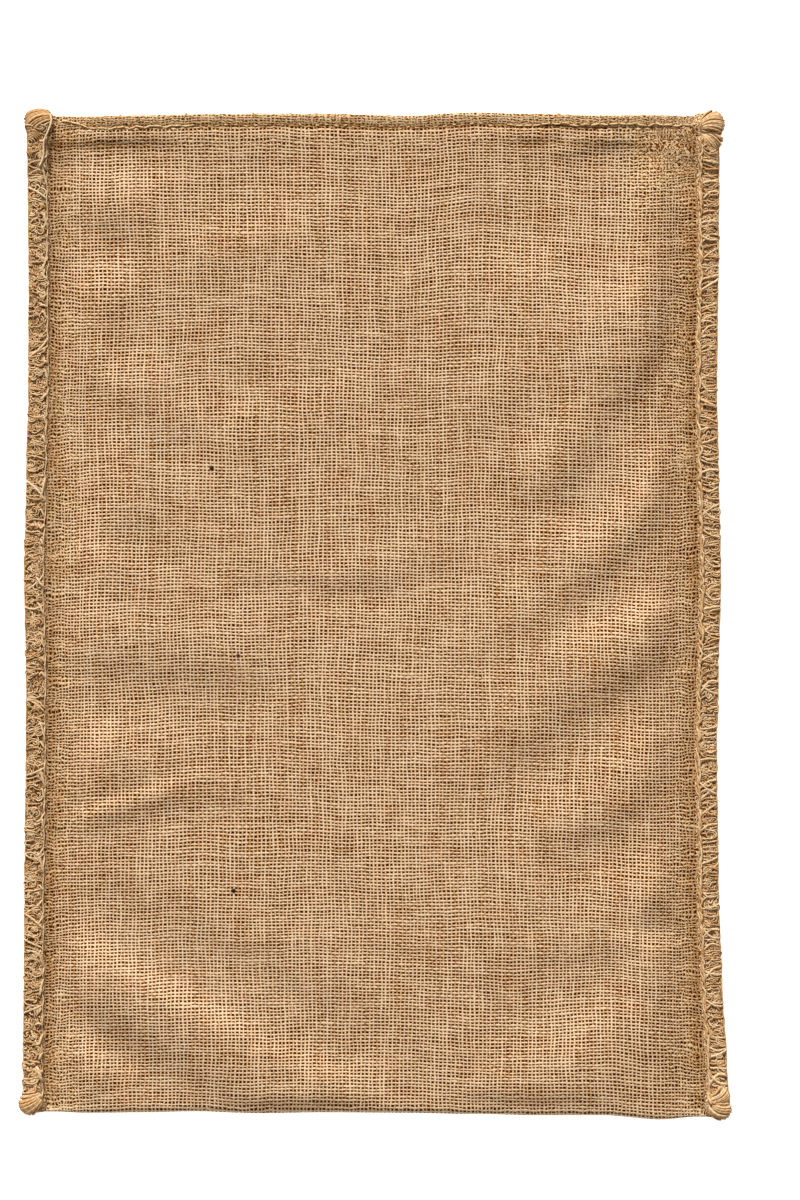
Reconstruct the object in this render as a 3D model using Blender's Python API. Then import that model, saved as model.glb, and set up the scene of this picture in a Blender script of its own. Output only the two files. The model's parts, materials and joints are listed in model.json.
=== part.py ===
"""Jute sack lying flat on its back, with its mouth towards +Y.

One strip of hessian is folded up at the bottom into a back and a front, with a hem turned in at
the mouth, and each side is closed by a seam of thick yarn that wraps both cloth edges.

Units are metres and +Z is up. The origin is the middle of the sack's underside.
"""
import math
from typing import NamedTuple

import bmesh
import bpy
from mathutils import Vector

# The sack, flat and empty
SACK_WIDTH = 0.700
SACK_LENGTH = 1.000
CLOTH_THICKNESS = 0.0015
LAYER_GAP = 0.0004
CLEARANCE = 0.0003

# The side seams
SEAM_WIDTH = 0.0245
SEAM_WALL = 0.0022
CLOTH_INSET = 0.0045
SLOT_SPARE = 0.0010
STITCH_PITCH = 0.0166
STITCH_RELIEF = 0.0013
STITCH_SLANT = 0.0080
STITCH_FREE_END = 0.0040
SLANT_FREE_END = 0.012
SLANT_RUN = 0.020
SLOT_LEAD = 0.009
KNOT_FLOOR = 0.0012

# The mouth hems: layers turned in, a rolled edge, and a stitch that draws a groove
HEM_DEPTH = 0.025
HEM_STITCH_DROP = 0.0125
HEM_ROLL_GAP = 0.0016
HEM_ROLL_REACH = 0.0026
HEM_GROOVE = 0.0011
HEM_GROOVE_HALF_WIDTH = 0.0026
HEM_STEP_START = 0.023
HEM_STEP_RUN = 0.008
HEM_LIFT_FULL = 0.028
HEM_LIFT_NONE = 0.053
HEM_LIFT_SHARE_IN_MIDDLE = 0.4

# The fold at the bottom
BOTTOM_REACH = 0.006

# How the front stands over the back
PUFF_HEIGHT = 0.0104
PUFF_RISE = 0.052
BOTTOM_FULLNESS = 0.66
BOTTOM_RISE = 0.100
MOUTH_SINK = 0.0012
MOUTH_SINK_REACH = 0.120
BACK_DROP = 0.036
SEAM_FLAT = 0.004
DEEPEST_TROUGH = -0.0045
HIGHEST_RIDGE = 0.0075
CALM_AT_BOTTOM = 0.020
CALM_AT_MOUTH = 0.045

# How finely the cloth is divided
EDGE_COLUMNS = (0.0, 0.0235, 0.037, 0.056, 0.082)
HEM_ROWS = (0.0058, 0.0095, HEM_STITCH_DROP, 0.0152, 0.0190, HEM_DEPTH)
MIDDLE_COLUMNS = 15
FRONT_ROWS = 44
BACK_ROWS = 14
BOTTOM_STEPS = 6
HEM_ROLL_STEPS = 4

HALF_WIDTH = SACK_WIDTH / 2
HALF_LENGTH = SACK_LENGTH / 2
HALF_CLOTH = CLOTH_THICKNESS / 2
LAYER_PITCH = CLOTH_THICKNESS + LAYER_GAP
BACK_MID_AT_SEAM = SEAM_WALL + CLEARANCE + HALF_CLOTH
FRONT_MID_AT_SEAM = BACK_MID_AT_SEAM + LAYER_PITCH
HEM_LIFT = 2 * LAYER_PITCH


class SideRow(NamedTuple):
    """How much further out than half the width each seam's edge lies at one height."""

    y: float
    left: float
    right: float


SIDES = (
    SideRow(-0.483, 0.0032, 0.0043),
    SideRow(-0.444, 0.0032, 0.0022),
    SideRow(-0.366, 0.0025, -0.0022),
    SideRow(-0.290, 0.0021, -0.0054),
    SideRow(-0.140, 0.0005, -0.0075),
    SideRow(-0.075, 0.0000, -0.0060),
    SideRow(0.041, 0.0021, -0.0035),
    SideRow(0.138, 0.0000, -0.0055),
    SideRow(0.236, -0.0022, -0.0075),
    SideRow(0.352, -0.0022, -0.0054),
    SideRow(0.488, -0.0011, -0.0054),
)


class EndRow(NamedTuple):
    """How much further out than half the length the mouth and the bottom lie at one width."""

    x: float
    mouth: float
    bottom: float


ENDS = (
    EndRow(-0.322, -0.0015, -0.0020),
    EndRow(-0.290, -0.0024, -0.0008),
    EndRow(-0.225, -0.0012, -0.0014),
    EndRow(-0.182, -0.0002, -0.0024),
    EndRow(-0.117, 0.0005, -0.0005),
    EndRow(-0.053, 0.0003, -0.0014),
    EndRow(0.033, -0.0015, -0.0008),
    EndRow(0.098, 0.0015, 0.0003),
    EndRow(0.162, 0.0000, 0.0015),
    EndRow(0.227, -0.0015, 0.0015),
    EndRow(0.286, -0.0010, 0.0058),
    EndRow(0.322, -0.0015, 0.0032),
)


class HemRow(NamedTuple):
    """How high the hem's own end shows through the front at one width."""

    x: float
    step: float


HEM_ENDS = (
    HemRow(-0.320, 0.0026),
    HemRow(-0.268, 0.0024),
    HemRow(-0.225, 0.0014),
    HemRow(-0.180, 0.0005),
    HemRow(0.110, 0.0004),
    HemRow(0.165, 0.0020),
    HemRow(0.235, 0.0020),
    HemRow(0.275, 0.0011),
    HemRow(0.315, 0.0020),
)


class Fold(NamedTuple):
    """One soft fold of the front along a bent line: a ridge on its lower side and a trough on its upper.

    A height below 0 turns them round. The half width is from the line to the ridge's top.
    """

    start: tuple[float, float]
    bend: tuple[float, float]
    end: tuple[float, float]
    height: float
    half_width: float


FOLDS = (
    # Right side: drapes that fall from the seam towards the middle
    Fold((0.301, 0.448), (0.246, 0.473), (0.290, 0.301), 0.0039, 0.028),
    Fold((0.326, 0.364), (0.258, 0.185), (0.167, 0.093), -0.0070, 0.032),
    Fold((0.110, 0.347), (0.239, 0.393), (0.326, 0.474), 0.0016, 0.036),
    Fold((0.279, 0.339), (0.204, 0.309), (0.075, 0.366), 0.0015, 0.039),
    Fold((0.276, 0.209), (0.222, 0.114), (0.137, 0.053), 0.0024, 0.032),
    Fold((0.326, 0.177), (0.270, 0.029), (0.123, -0.031), -0.0034, 0.023),
    Fold((0.096, 0.162), (0.173, 0.238), (0.256, 0.250), -0.0024, 0.033),
    Fold((0.326, 0.030), (0.247, -0.030), (0.140, 0.000), 0.0033, 0.032),
    Fold((0.321, -0.003), (0.230, -0.096), (0.134, -0.163), -0.0038, 0.032),
    Fold((0.326, -0.111), (0.186, -0.091), (0.143, -0.238), 0.0025, 0.028),
    Fold((0.285, -0.144), (0.276, -0.225), (0.191, -0.225), -0.0022, 0.021),
    Fold((0.303, -0.202), (0.288, -0.274), (0.190, -0.298), 0.0021, 0.040),
    Fold((0.312, -0.302), (0.300, -0.297), (0.266, -0.292), -0.0038, 0.020),
    Fold((0.248, -0.322), (0.271, -0.439), (0.098, -0.434), 0.0041, 0.038),
    Fold((0.078, -0.485), (0.170, -0.485), (0.204, -0.485), -0.0016, 0.012),
    # Left side: short pulls from the seam, and the long diagonal fold near the bottom
    Fold((-0.326, 0.485), (-0.322, 0.434), (-0.187, 0.435), 0.0033, 0.031),
    Fold((-0.233, 0.371), (-0.139, 0.393), (-0.063, 0.403), 0.0017, 0.028),
    Fold((-0.234, 0.343), (-0.300, 0.340), (-0.326, 0.350), 0.0032, 0.024),
    Fold((-0.278, 0.237), (-0.260, 0.208), (-0.160, 0.169), -0.0024, 0.024),
    Fold((-0.275, 0.237), (-0.259, 0.179), (-0.265, 0.085), 0.0036, 0.025),
    Fold((-0.232, 0.205), (-0.203, 0.167), (0.016, 0.254), 0.0011, 0.024),
    Fold((-0.301, 0.076), (-0.288, 0.067), (-0.177, 0.036), 0.0011, 0.014),
    Fold((-0.326, -0.038), (-0.277, -0.062), (-0.095, -0.064), -0.0032, 0.031),
    Fold((-0.314, -0.125), (-0.285, -0.123), (-0.255, -0.101), 0.0038, 0.032),
    Fold((-0.326, -0.230), (-0.262, -0.204), (-0.183, -0.182), -0.0011, 0.011),
    Fold((-0.326, -0.254), (-0.170, -0.182), (-0.125, -0.185), -0.0008, 0.016),
    Fold((-0.326, -0.304), (-0.199, -0.382), (0.007, -0.475), 0.0079, 0.030),
    Fold((-0.195, -0.352), (-0.143, -0.303), (-0.036, -0.453), -0.0014, 0.027),
    Fold((-0.326, -0.355), (-0.268, -0.376), (-0.161, -0.485), -0.0011, 0.019),
    Fold((-0.257, -0.474), (-0.292, -0.415), (-0.326, -0.419), 0.0033, 0.018),
    Fold((-0.057, -0.481), (-0.123, -0.484), (-0.143, -0.423), 0.0023, 0.021),
    # Middle: one shallow fold across
    Fold((-0.073, 0.023), (0.008, 0.025), (0.074, 0.055), -0.0009, 0.018),
)
FOLD_SEGMENTS = 10
FOLD_UPPER_SIDE = math.radians(108)
FOLD_TAPER = 0.22
FOLD_END_SHARE = 0.25


class Knot(NamedTuple):
    """The lump in which a seam's yarn ends: how far it reaches, and how much it swells."""

    reach_x: float
    reach_y: float
    swell_in: float
    swell_up: float


KNOTS = {
    ("left", "mouth"): Knot(0.3510, 0.5063, 0.0030, 0.0034),
    ("left", "bottom"): Knot(0.3554, 0.5012, 0.0000, 0.0018),
    ("right", "mouth"): Knot(0.3500, 0.5044, 0.0026, 0.0030),
    ("right", "bottom"): Knot(0.3554, 0.5063, 0.0000, 0.0022),
}
KNOT_BACKSET = 0.0105
KNOT_SPREAD = 0.0085
KNOT_TIP_SIZE = 0.55
KNOT_SHOULDER_SIZE = 0.86
KNOT_NECK_SIZE = 0.95
KNOT_NARROWING = 0.4
KNOT_OUTER_SHARE = 0.3


class SectionRow(NamedTuple):
    """One point round a seam's section.

    across runs from 0 at the inner edge to 1 at the outside, height from 0 at the bottom to 1 at the
    top, and relief and lean are the shares of the stitch's relief and slant that the point takes.
    """

    across: float
    height: float
    relief: float
    lean: float


SECTION = (
    SectionRow(0.00, 0.00, 0.0, 0.0),
    SectionRow(0.45, 0.00, 0.0, 0.0),
    SectionRow(0.80, 0.00, 0.0, 0.0),
    SectionRow(0.95, 0.16, 0.0, 0.0),
    SectionRow(1.00, 0.50, 0.0, -0.5),
    SectionRow(0.95, 0.83, 0.6, -0.5),
    SectionRow(0.80, 0.97, 1.0, -0.4),
    SectionRow(0.42, 1.00, 1.0, 0.1),
    SectionRow(0.00, 0.94, 0.5, 0.5),
)

# The free end of the sewing yarn, from the upper left knot down along the seam's inner edge
TAIL_DIAMETER = 0.0020
TAIL_ROUTE = (
    (-0.3250, 0.5000, 0.0146),
    (-0.3238, 0.4955, 0.0161),
    (-0.3241, 0.4900, 0.0169),
    (-0.3268, 0.4826, 0.0170),
    (-0.3295, 0.4766, 0.0161),
    (-0.3312, 0.4710, 0.0150),
    (-0.3314, 0.4640, 0.0142),
    (-0.3318, 0.4574, 0.0137),
    (-0.3338, 0.4514, 0.0134),
    (-0.3354, 0.4484, 0.0132),
)
TAIL_POINTS = 24


def ease(share):
    """Smooth step from 0 to 1 as share goes from 0 to 1."""
    share = min(max(share, 0.0), 1.0)
    return share * share * (3 - 2 * share)


def table_value(rows, place, column):
    """The value of a table's column at a place between its rows, eased from row to row."""
    if place <= rows[0][0]:
        return getattr(rows[0], column)
    for low, high in zip(rows, rows[1:]):
        if place <= high[0]:
            share = ease((place - low[0]) / (high[0] - low[0]))
            return getattr(low, column) * (1 - share) + getattr(high, column) * share
    return getattr(rows[-1], column)


def side_reach(y, side):
    """Distance from the middle to a seam's outer edge."""
    return HALF_WIDTH + table_value(SIDES, y, side)


def mouth_edge(x):
    """Y of the mouth's folded edge."""
    return HALF_LENGTH + table_value(ENDS, x, "mouth")


def bottom_edge(x):
    """Y of the bottom fold's outside."""
    return -HALF_LENGTH - table_value(ENDS, x, "bottom")


def inside_seam(x, y):
    """Distance from the nearer seam's inner edge towards the middle, below 0 under the seam."""
    side = "left" if x < 0 else "right"
    return side_reach(y, side) - SEAM_WIDTH - abs(x)


def fold_spine(fold):
    """Points along a fold's bent line."""
    start, bend, end = Vector(fold.start), Vector(fold.bend), Vector(fold.end)
    points = []
    for step in range(FOLD_SEGMENTS + 1):
        t = step / FOLD_SEGMENTS
        points.append(start * (1 - t) ** 2 + bend * 2 * t * (1 - t) + end * t * t)
    return points


FOLD_SPINES = [(fold, fold_spine(fold)) for fold in FOLDS]


def fold_effect(fold, spine, place):
    """Height that one fold gives the front at a place, eased off at and beyond its line's ends."""
    upper_side = Vector((math.cos(FOLD_UPPER_SIDE), math.sin(FOLD_UPPER_SIDE)))
    nearest = None
    for step, (low, high) in enumerate(zip(spine, spine[1:])):
        along = high - low
        share = (place - low).dot(along) / along.length_squared
        held = min(max(share, 0.0), 1.0)
        away = (place - low - along * held).length
        if nearest is None or away < nearest[0]:
            across = Vector((-along.y, along.x)).normalized()
            if across.dot(upper_side) < 0:
                across.negate()
            offset = (place - low).dot(across)
            nearest = (away, (step + held) / FOLD_SEGMENTS, offset, (share - held) * along.length)
    _, progress, offset, beyond = nearest
    ends = ease(min(progress, 1 - progress) / FOLD_TAPER + FOLD_END_SHARE)
    ends *= math.exp(-0.5 * (beyond / fold.half_width) ** 2)
    ratio = offset / fold.half_width
    return -fold.height * ends * ratio * math.exp(0.5 * (1 - ratio * ratio))


def front_folds(x, y):
    """Height of all folds together, kept within the deepest trough and the highest ridge."""
    place = Vector((x, y))
    total = sum(fold_effect(fold, spine, place) for fold, spine in FOLD_SPINES)
    if total < 0:
        return DEEPEST_TROUGH * math.tanh(total / DEEPEST_TROUGH)
    return HIGHEST_RIDGE * math.tanh(total / HIGHEST_RIDGE)


def hem_lift(drop):
    """How much the hem's two extra layers raise the front under the seams, by drop below the edge."""
    share = (HEM_LIFT_NONE - drop) / (HEM_LIFT_NONE - HEM_LIFT_FULL)
    return HEM_LIFT * min(max(share, 0.0), 1.0)


def hem_shape(x, drop):
    """Relief of the front over its hem: the stitch's groove, and the step of the layers below."""
    groove = HEM_GROOVE * math.exp(-(((drop - HEM_STITCH_DROP) / HEM_GROOVE_HALF_WIDTH) ** 2))
    step = table_value(HEM_ENDS, x, "step") * (1 - ease((drop - HEM_STEP_START) / HEM_STEP_RUN))
    return step - groove


def roll_opening(drop):
    """How far the front hem's two layers part between the mouth's edge and the stitch."""
    opened = 1 - ease((drop - HEM_ROLL_REACH) / (HEM_STITCH_DROP - HEM_ROLL_REACH))
    return (HEM_ROLL_GAP - LAYER_GAP) * opened


def freedom(x, y, rise):
    """0 under the seams and beside them, rising to 1 where the cloth no longer feels their hold."""
    return ease((inside_seam(x, y) - SEAM_FLAT) / rise)


def puff(y):
    """How high the front stands at its middle, over its height at the seams."""
    from_bottom = ease((y + HALF_LENGTH) / BOTTOM_RISE)
    from_mouth = ease((HALF_LENGTH - y) / MOUTH_SINK_REACH)
    fullness = BOTTOM_FULLNESS + (1 - BOTTOM_FULLNESS) * from_bottom
    return PUFF_HEIGHT * fullness - MOUTH_SINK * (1 - from_mouth)


def front_mid(x, y):
    """Z of the front's middle surface."""
    drop = mouth_edge(x) - y
    held = FRONT_MID_AT_SEAM + hem_lift(drop)
    free = FRONT_MID_AT_SEAM + puff(y) + HEM_LIFT_SHARE_IN_MIDDLE * hem_lift(drop)
    calm = ease((y + HALF_LENGTH) / CALM_AT_BOTTOM) * ease(drop / CALM_AT_MOUTH)
    relief = front_folds(x, y) * calm + hem_shape(x, drop) + roll_opening(drop)
    return held + freedom(x, y, PUFF_RISE) * (free + relief - held)


def back_mid(x, y):
    """Z of the back's middle surface: flat on the floor, and raised into the seams."""
    return BACK_MID_AT_SEAM + (HALF_CLOTH - BACK_MID_AT_SEAM) * freedom(x, y, BACK_DROP)


def half_turn(centre_y, centre_z, radius, steps, first_angle):
    """Points inside a half circle in the Y-Z plane, turning clockwise as seen from -X."""
    points = []
    for step in range(1, steps):
        angle = first_angle + math.pi * step / steps
        points.append((centre_y + radius * math.sin(angle), centre_z + radius * math.cos(angle)))
    return points


def cloth_x(share, y):
    """X of a column at one height: share runs from 0 at the cloth's left edge to 1 at its right."""
    left = -side_reach(y, "left") + CLOTH_INSET
    right = side_reach(y, "right") - CLOTH_INSET
    return left + (right - left) * share


def strip_column(share):
    """The strip's middle line in one column, from the back hem's free edge to the front hem's."""
    edge = mouth_edge(cloth_x(share, HALF_LENGTH))
    foot = bottom_edge(cloth_x(share, -HALF_LENGTH))

    def back(y):
        return back_mid(cloth_x(share, y), y)

    def front(y):
        return front_mid(cloth_x(share, y), y)

    def pitch(drop):
        freed = freedom(cloth_x(share, edge - drop), edge - drop, PUFF_RISE)
        return LAYER_PITCH + roll_opening(drop) * freed

    back_radius = LAYER_PITCH / 2
    back_turn = edge - back_radius - HALF_CLOTH
    front_radius = pitch(0.0) / 2
    front_turn = edge - front_radius - HALF_CLOTH
    foot_radius = (front(foot + BOTTOM_REACH) - back(foot)) / 2
    foot_y = foot + HALF_CLOTH + foot_radius
    back_span = foot_y - back_turn
    front_span = edge - HEM_LIFT_NONE - foot_y
    ramp_rows = ((HEM_LIFT_FULL + HEM_LIFT_NONE) / 2, HEM_LIFT_FULL)

    line = [(edge - drop, back(edge - drop) + LAYER_PITCH) for drop in reversed(HEM_ROWS)]
    line.append((back_turn, back(back_turn) + LAYER_PITCH))
    line += half_turn(back_turn, back(back_turn) + back_radius, back_radius, HEM_ROLL_STEPS, 0.0)
    for step in range(BACK_ROWS + 1):
        y = back_turn + back_span * step / BACK_ROWS
        line.append((y, back(y)))
    line += half_turn(foot_y, back(foot_y) + foot_radius, foot_radius, BOTTOM_STEPS, math.pi)
    for step in range(FRONT_ROWS + 1):
        y = foot_y + front_span * step / FRONT_ROWS
        line.append((y, front(y)))
    line += [(edge - drop, front(edge - drop)) for drop in ramp_rows + HEM_ROWS[::-1]]
    line.append((front_turn, front(front_turn)))
    line += half_turn(front_turn, front(front_turn) - front_radius, front_radius, HEM_ROLL_STEPS, 0.0)
    line.append((front_turn, front(front_turn) - 2 * front_radius))
    line += [(edge - drop, front(edge - drop) - pitch(drop)) for drop in HEM_ROWS]
    return [(cloth_x(share, y), y, z) for y, z in line]


def cloth_columns():
    """Shares of the cloth's width at which the strip has a column of points, 0 left and 1 right."""
    width = SACK_WIDTH - 2 * CLOTH_INSET
    edge = [place / width for place in EDGE_COLUMNS]
    span = 1 - 2 * edge[-1]
    middle = [edge[-1] + span * step / (MIDDLE_COLUMNS + 1) for step in range(1, MIDDLE_COLUMNS + 1)]
    return edge + middle + [1 - share for share in reversed(edge)]


def solid_object(name, bm, material):
    """Make a mesh object of a bmesh and give it its material."""
    mesh = bpy.data.meshes.new(name)
    bm.to_mesh(mesh)
    bm.free()
    thing = bpy.data.objects.new(name, mesh)
    bpy.context.scene.collection.objects.link(thing)
    mesh.materials.append(material)
    return thing


def plain_material(name, colour, roughness):
    """A Principled material of one colour."""
    material = bpy.data.materials.new(name)
    material.use_nodes = True
    shader = material.node_tree.nodes["Principled BSDF"]
    shader.inputs["Base Color"].default_value = (*colour, 1.0)
    shader.inputs["Roughness"].default_value = roughness
    shader.inputs["Metallic"].default_value = 0.0
    material.diffuse_color = (*colour, 1.0)
    return material


def build_cloth(material):
    """The hessian strip: its middle surface, thickened by Solidify to both sides."""
    bm = bmesh.new()
    columns = []
    for share in cloth_columns():
        columns.append([bm.verts.new(point) for point in strip_column(share)])
    for left, right in zip(columns, columns[1:]):
        for row in range(len(left) - 1):
            bm.faces.new((left[row], left[row + 1], right[row + 1], right[row]))
    cloth = solid_object("sack_cloth", bm, material)
    cloth.data.shade_smooth()
    thick = cloth.modifiers.new("cloth thickness", "SOLIDIFY")
    thick.thickness = CLOTH_THICKNESS
    thick.offset = 0.0
    thick.use_rim = True
    return cloth


def cavity_top(drop):
    """Z of the top of the slot in which a seam holds the cloth."""
    return FRONT_MID_AT_SEAM + HALF_CLOTH + hem_lift(drop - SLOT_LEAD) + CLEARANCE


def knot_share(y, end):
    """How much of an end knot's swelling a seam has at one height."""
    centre = (HALF_LENGTH - KNOT_BACKSET) * (1 if end == "mouth" else -1)
    return math.exp(-(((y - centre) / KNOT_SPREAD) ** 2))


class Station(NamedTuple):
    """One cross-section of a seam: its place, its share of the stitch's relief, its size and its slot."""

    y: float
    relief: float
    size: float
    slotted: bool


def seam_stations(side):
    """Sections from the bottom knot to the mouth knot: a ridge and a hollow for each stitch."""
    sign = -1 if side == "left" else 1
    cloth_low = bottom_edge(sign * HALF_WIDTH) - CLEARANCE
    cloth_high = mouth_edge(sign * HALF_WIDTH) + CLEARANCE
    low, high = -KNOTS[side, "bottom"].reach_y, KNOTS[side, "mouth"].reach_y
    stations = [
        Station(low, 0.0, KNOT_TIP_SIZE, False),
        Station((low + cloth_low) / 2, 0.0, KNOT_SHOULDER_SIZE, False),
        Station(cloth_low - CLEARANCE, 0.0, KNOT_NECK_SIZE, False),
        Station(cloth_low, 0.0, KNOT_NECK_SIZE, True),
    ]
    first, last = cloth_low + STITCH_FREE_END, cloth_high - STITCH_FREE_END
    count = 2 * round((last - first) / STITCH_PITCH)
    for step in range(count + 1):
        stations.append(Station(first + (last - first) * step / count, float(step % 2), 1.0, True))
    stations += [
        Station(cloth_high, 0.0, KNOT_NECK_SIZE, True),
        Station(cloth_high + CLEARANCE, 0.0, KNOT_NECK_SIZE, False),
        Station((high + cloth_high) / 2, 0.0, KNOT_SHOULDER_SIZE, False),
        Station(high, 0.0, KNOT_TIP_SIZE, False),
    ]
    return stations


def seam_section(side, station):
    """Points round one section of a seam, from its inner edge on the floor over the outside to the slot."""
    y = station.y
    sign = -1 if side == "left" else 1
    reach = side_reach(y, side)
    inner = reach - SEAM_WIDTH
    drop = mouth_edge(sign * HALF_WIDTH) - y
    top = cavity_top(drop) + SEAM_WALL
    relief = STITCH_RELIEF * station.relief
    for end in ("mouth", "bottom"):
        knot = KNOTS[side, end]
        share = knot_share(y, end)
        reach += (knot.reach_x - reach) * share
        inner -= knot.swell_in * share
        top += knot.swell_up * share
    slant = STITCH_SLANT * ease((HALF_LENGTH - SLANT_FREE_END - abs(y)) / SLANT_RUN)
    low, high = top * (1 - station.size) / 2, top * (1 + station.size) / 2
    width = (reach - inner) * (1 - KNOT_NARROWING * (1 - station.size))
    outer = reach - (reach - inner - width) * KNOT_OUTER_SHARE
    points = []
    for row in SECTION:
        distance = outer - width * (1 - row.across)
        z = low + (high - low) * row.height + relief * row.relief
        points.append((sign * distance, y + slant * row.lean, z))
    slot_low = max(low + KNOT_FLOOR, SEAM_WALL)
    slot_high = cavity_top(drop)
    deep = outer - CLOTH_INSET + SLOT_SPARE if station.slotted else outer - width
    mouth = outer - width
    third = (slot_high - slot_low) / 3
    inset = 0.0 if station.slotted else third
    points.append((sign * mouth, y, slot_high))
    points.append((sign * deep, y, slot_high - inset))
    points.append((sign * deep, y, slot_low + inset))
    points.append((sign * mouth, y, slot_low))
    return points


def build_seam(side, material):
    """A seam: one skin through all its sections, closed at the two knots."""
    bm = bmesh.new()
    rings = [[bm.verts.new(point) for point in seam_section(side, station)] for station in seam_stations(side)]
    for low, high in zip(rings, rings[1:]):
        for index in range(len(low)):
            after = (index + 1) % len(low)
            bm.faces.new((low[index], low[after], high[after], high[index]))
    bm.faces.new(rings[0])
    bm.faces.new(reversed(rings[-1]))
    bmesh.ops.triangulate(bm, faces=bm.faces[:])
    bmesh.ops.recalc_face_normals(bm, faces=bm.faces[:])
    seam = solid_object(f"seam_{side}", bm, material)
    seam.data.shade_smooth()
    return seam


def smooth_route(route, count):
    """Evenly counted points on a smooth curve through a route's own points."""
    places = [Vector(point) for point in route]
    padded = [places[0] * 2 - places[1]] + places + [places[-1] * 2 - places[-2]]
    points = []
    for step in range(count + 1):
        at = step / count * (len(places) - 1)
        span = min(int(at), len(places) - 2)
        t = at - span
        before, low, high, after = padded[span:span + 4]
        points.append(
            0.5
            * (
                2 * low
                + (high - before) * t
                + (2 * before - 5 * low + 4 * high - after) * t * t
                + (3 * low - before - 3 * high + after) * t ** 3
            )
        )
    return points


def build_tail(material):
    """The loose end of the sewing yarn, as a bevelled curve."""
    curve = bpy.data.curves.new("thread_tail", "CURVE")
    curve.dimensions = "3D"
    curve.bevel_depth = TAIL_DIAMETER / 2
    curve.bevel_resolution = 2
    curve.use_fill_caps = True
    spline = curve.splines.new("POLY")
    points = smooth_route(TAIL_ROUTE, TAIL_POINTS)
    spline.points.add(len(points) - 1)
    for target, point in zip(spline.points, points):
        target.co = (*point, 1.0)
    curve.materials.append(material)
    tail = bpy.data.objects.new("thread_tail", curve)
    bpy.context.scene.collection.objects.link(tail)
    return tail


def main():
    """Clear the scene and build the sack."""
    for thing in list(bpy.data.objects):
        bpy.data.objects.remove(thing, do_unlink=True)
    hessian = plain_material("hessian", (0.48, 0.30, 0.155), 0.92)
    seam_yarn = plain_material("seam yarn", (0.50, 0.31, 0.16), 0.90)
    build_cloth(hessian)
    for side in ("left", "right"):
        build_seam(side, seam_yarn)
    build_tail(plain_material("loose yarn", (0.66, 0.47, 0.27), 0.90))


main()
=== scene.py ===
"""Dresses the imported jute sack: hessian, overhead-sewn side seams, end knots, hem stitch and loose yarn.

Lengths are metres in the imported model's own frame: +X runs across the sack, +Y to its mouth, and +Z up
out of its front. The sack lies on its back on the floor at z = 0.
"""
from __future__ import annotations

import json
import logging
import math
from dataclasses import dataclass, field
from enum import Enum
from typing import Sequence

import bpy
import numpy as np
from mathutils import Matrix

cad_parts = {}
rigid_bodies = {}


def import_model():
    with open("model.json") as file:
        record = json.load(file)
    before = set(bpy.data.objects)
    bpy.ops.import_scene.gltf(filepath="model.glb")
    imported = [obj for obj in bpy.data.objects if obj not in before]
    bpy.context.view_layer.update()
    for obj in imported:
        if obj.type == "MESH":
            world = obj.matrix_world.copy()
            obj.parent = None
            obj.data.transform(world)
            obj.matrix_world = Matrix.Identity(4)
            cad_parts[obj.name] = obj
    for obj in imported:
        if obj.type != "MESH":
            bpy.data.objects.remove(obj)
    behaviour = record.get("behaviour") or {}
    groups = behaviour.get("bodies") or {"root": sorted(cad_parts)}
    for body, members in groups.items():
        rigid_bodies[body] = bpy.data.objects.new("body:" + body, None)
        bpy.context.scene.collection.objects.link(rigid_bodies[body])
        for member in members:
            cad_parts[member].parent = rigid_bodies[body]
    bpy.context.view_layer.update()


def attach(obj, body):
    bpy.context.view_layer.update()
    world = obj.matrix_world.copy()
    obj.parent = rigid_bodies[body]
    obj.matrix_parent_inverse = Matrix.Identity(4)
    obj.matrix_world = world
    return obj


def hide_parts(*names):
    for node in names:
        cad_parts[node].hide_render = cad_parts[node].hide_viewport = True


LOG = logging.getLogger("jute_sack")
BODY = "root"
TAU = 2 * math.pi

# UV maps: the one that the textures are baked on, and each finish's own.
BAKE_MAP = "OFBake"
WEAVE_MAP = "weave"
YARN_MAP = "yarn"

# Values that the meshes' points carry for the finishes to read.
TONE = "tone"
PULL = "pull"
SHADE = "shade"

# Cells of a random field in each direction, before it repeats.
FIELD_CELLS = 256

Array = np.ndarray
Value = np.ndarray | float
Generator = np.random.Generator
Pair = tuple[float, float]
Triple = tuple[float, float, float]
Layers = tuple[tuple[float, float, int], ...]
Colour = tuple[float, ...]
Rows = list[tuple[np.ndarray, np.ndarray]]
Socket = bpy.types.NodeSocket
Piece = bpy.types.Object


class Side(Enum):
    """The sack's two sides, as the sign of X."""

    LEFT = -1
    RIGHT = 1


class End(Enum):
    """The sack's two ends, as the sign of Y."""

    BOTTOM = -1
    MOUTH = 1


# ---- Small mathematics ----


def ease(share: Value) -> Array:
    """Smooth step from 0 to 1 as share goes from 0 to 1."""
    share = np.clip(share, 0.0, 1.0)
    return share * share * (3 - 2 * share)


def fade(distance: Value, start: float, length: float) -> Array:
    """1 up to a start, falling smoothly to 0 over a length."""
    return 1 - ease((distance - start) / length)


def bell(distance: Value, half_width: float) -> Array:
    """A bell curve of height 1 over a distance."""
    return np.exp(-((distance / half_width) ** 2))


def eased_table(place: Value, rows: Sequence[tuple[float, ...]], column: int) -> Array:
    """Reads a table between its rows, eased from row to row.

    Args:
        place: Where to read, in the table's first column.
        rows: The table, in rising order of its first column.
        column: Which column to read.

    Returns:
        The column's value at each place, held at both ends.
    """
    keys = np.array([row[0] for row in rows])
    values = np.array([row[column] for row in rows])
    place = np.clip(place, keys[0], keys[-1])
    low = np.clip(np.searchsorted(keys, place, side="right") - 1, 0, len(keys) - 2)
    share = ease((place - keys[low]) / (keys[low + 1] - keys[low]))
    return values[low] * (1 - share) + values[low + 1] * share


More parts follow.
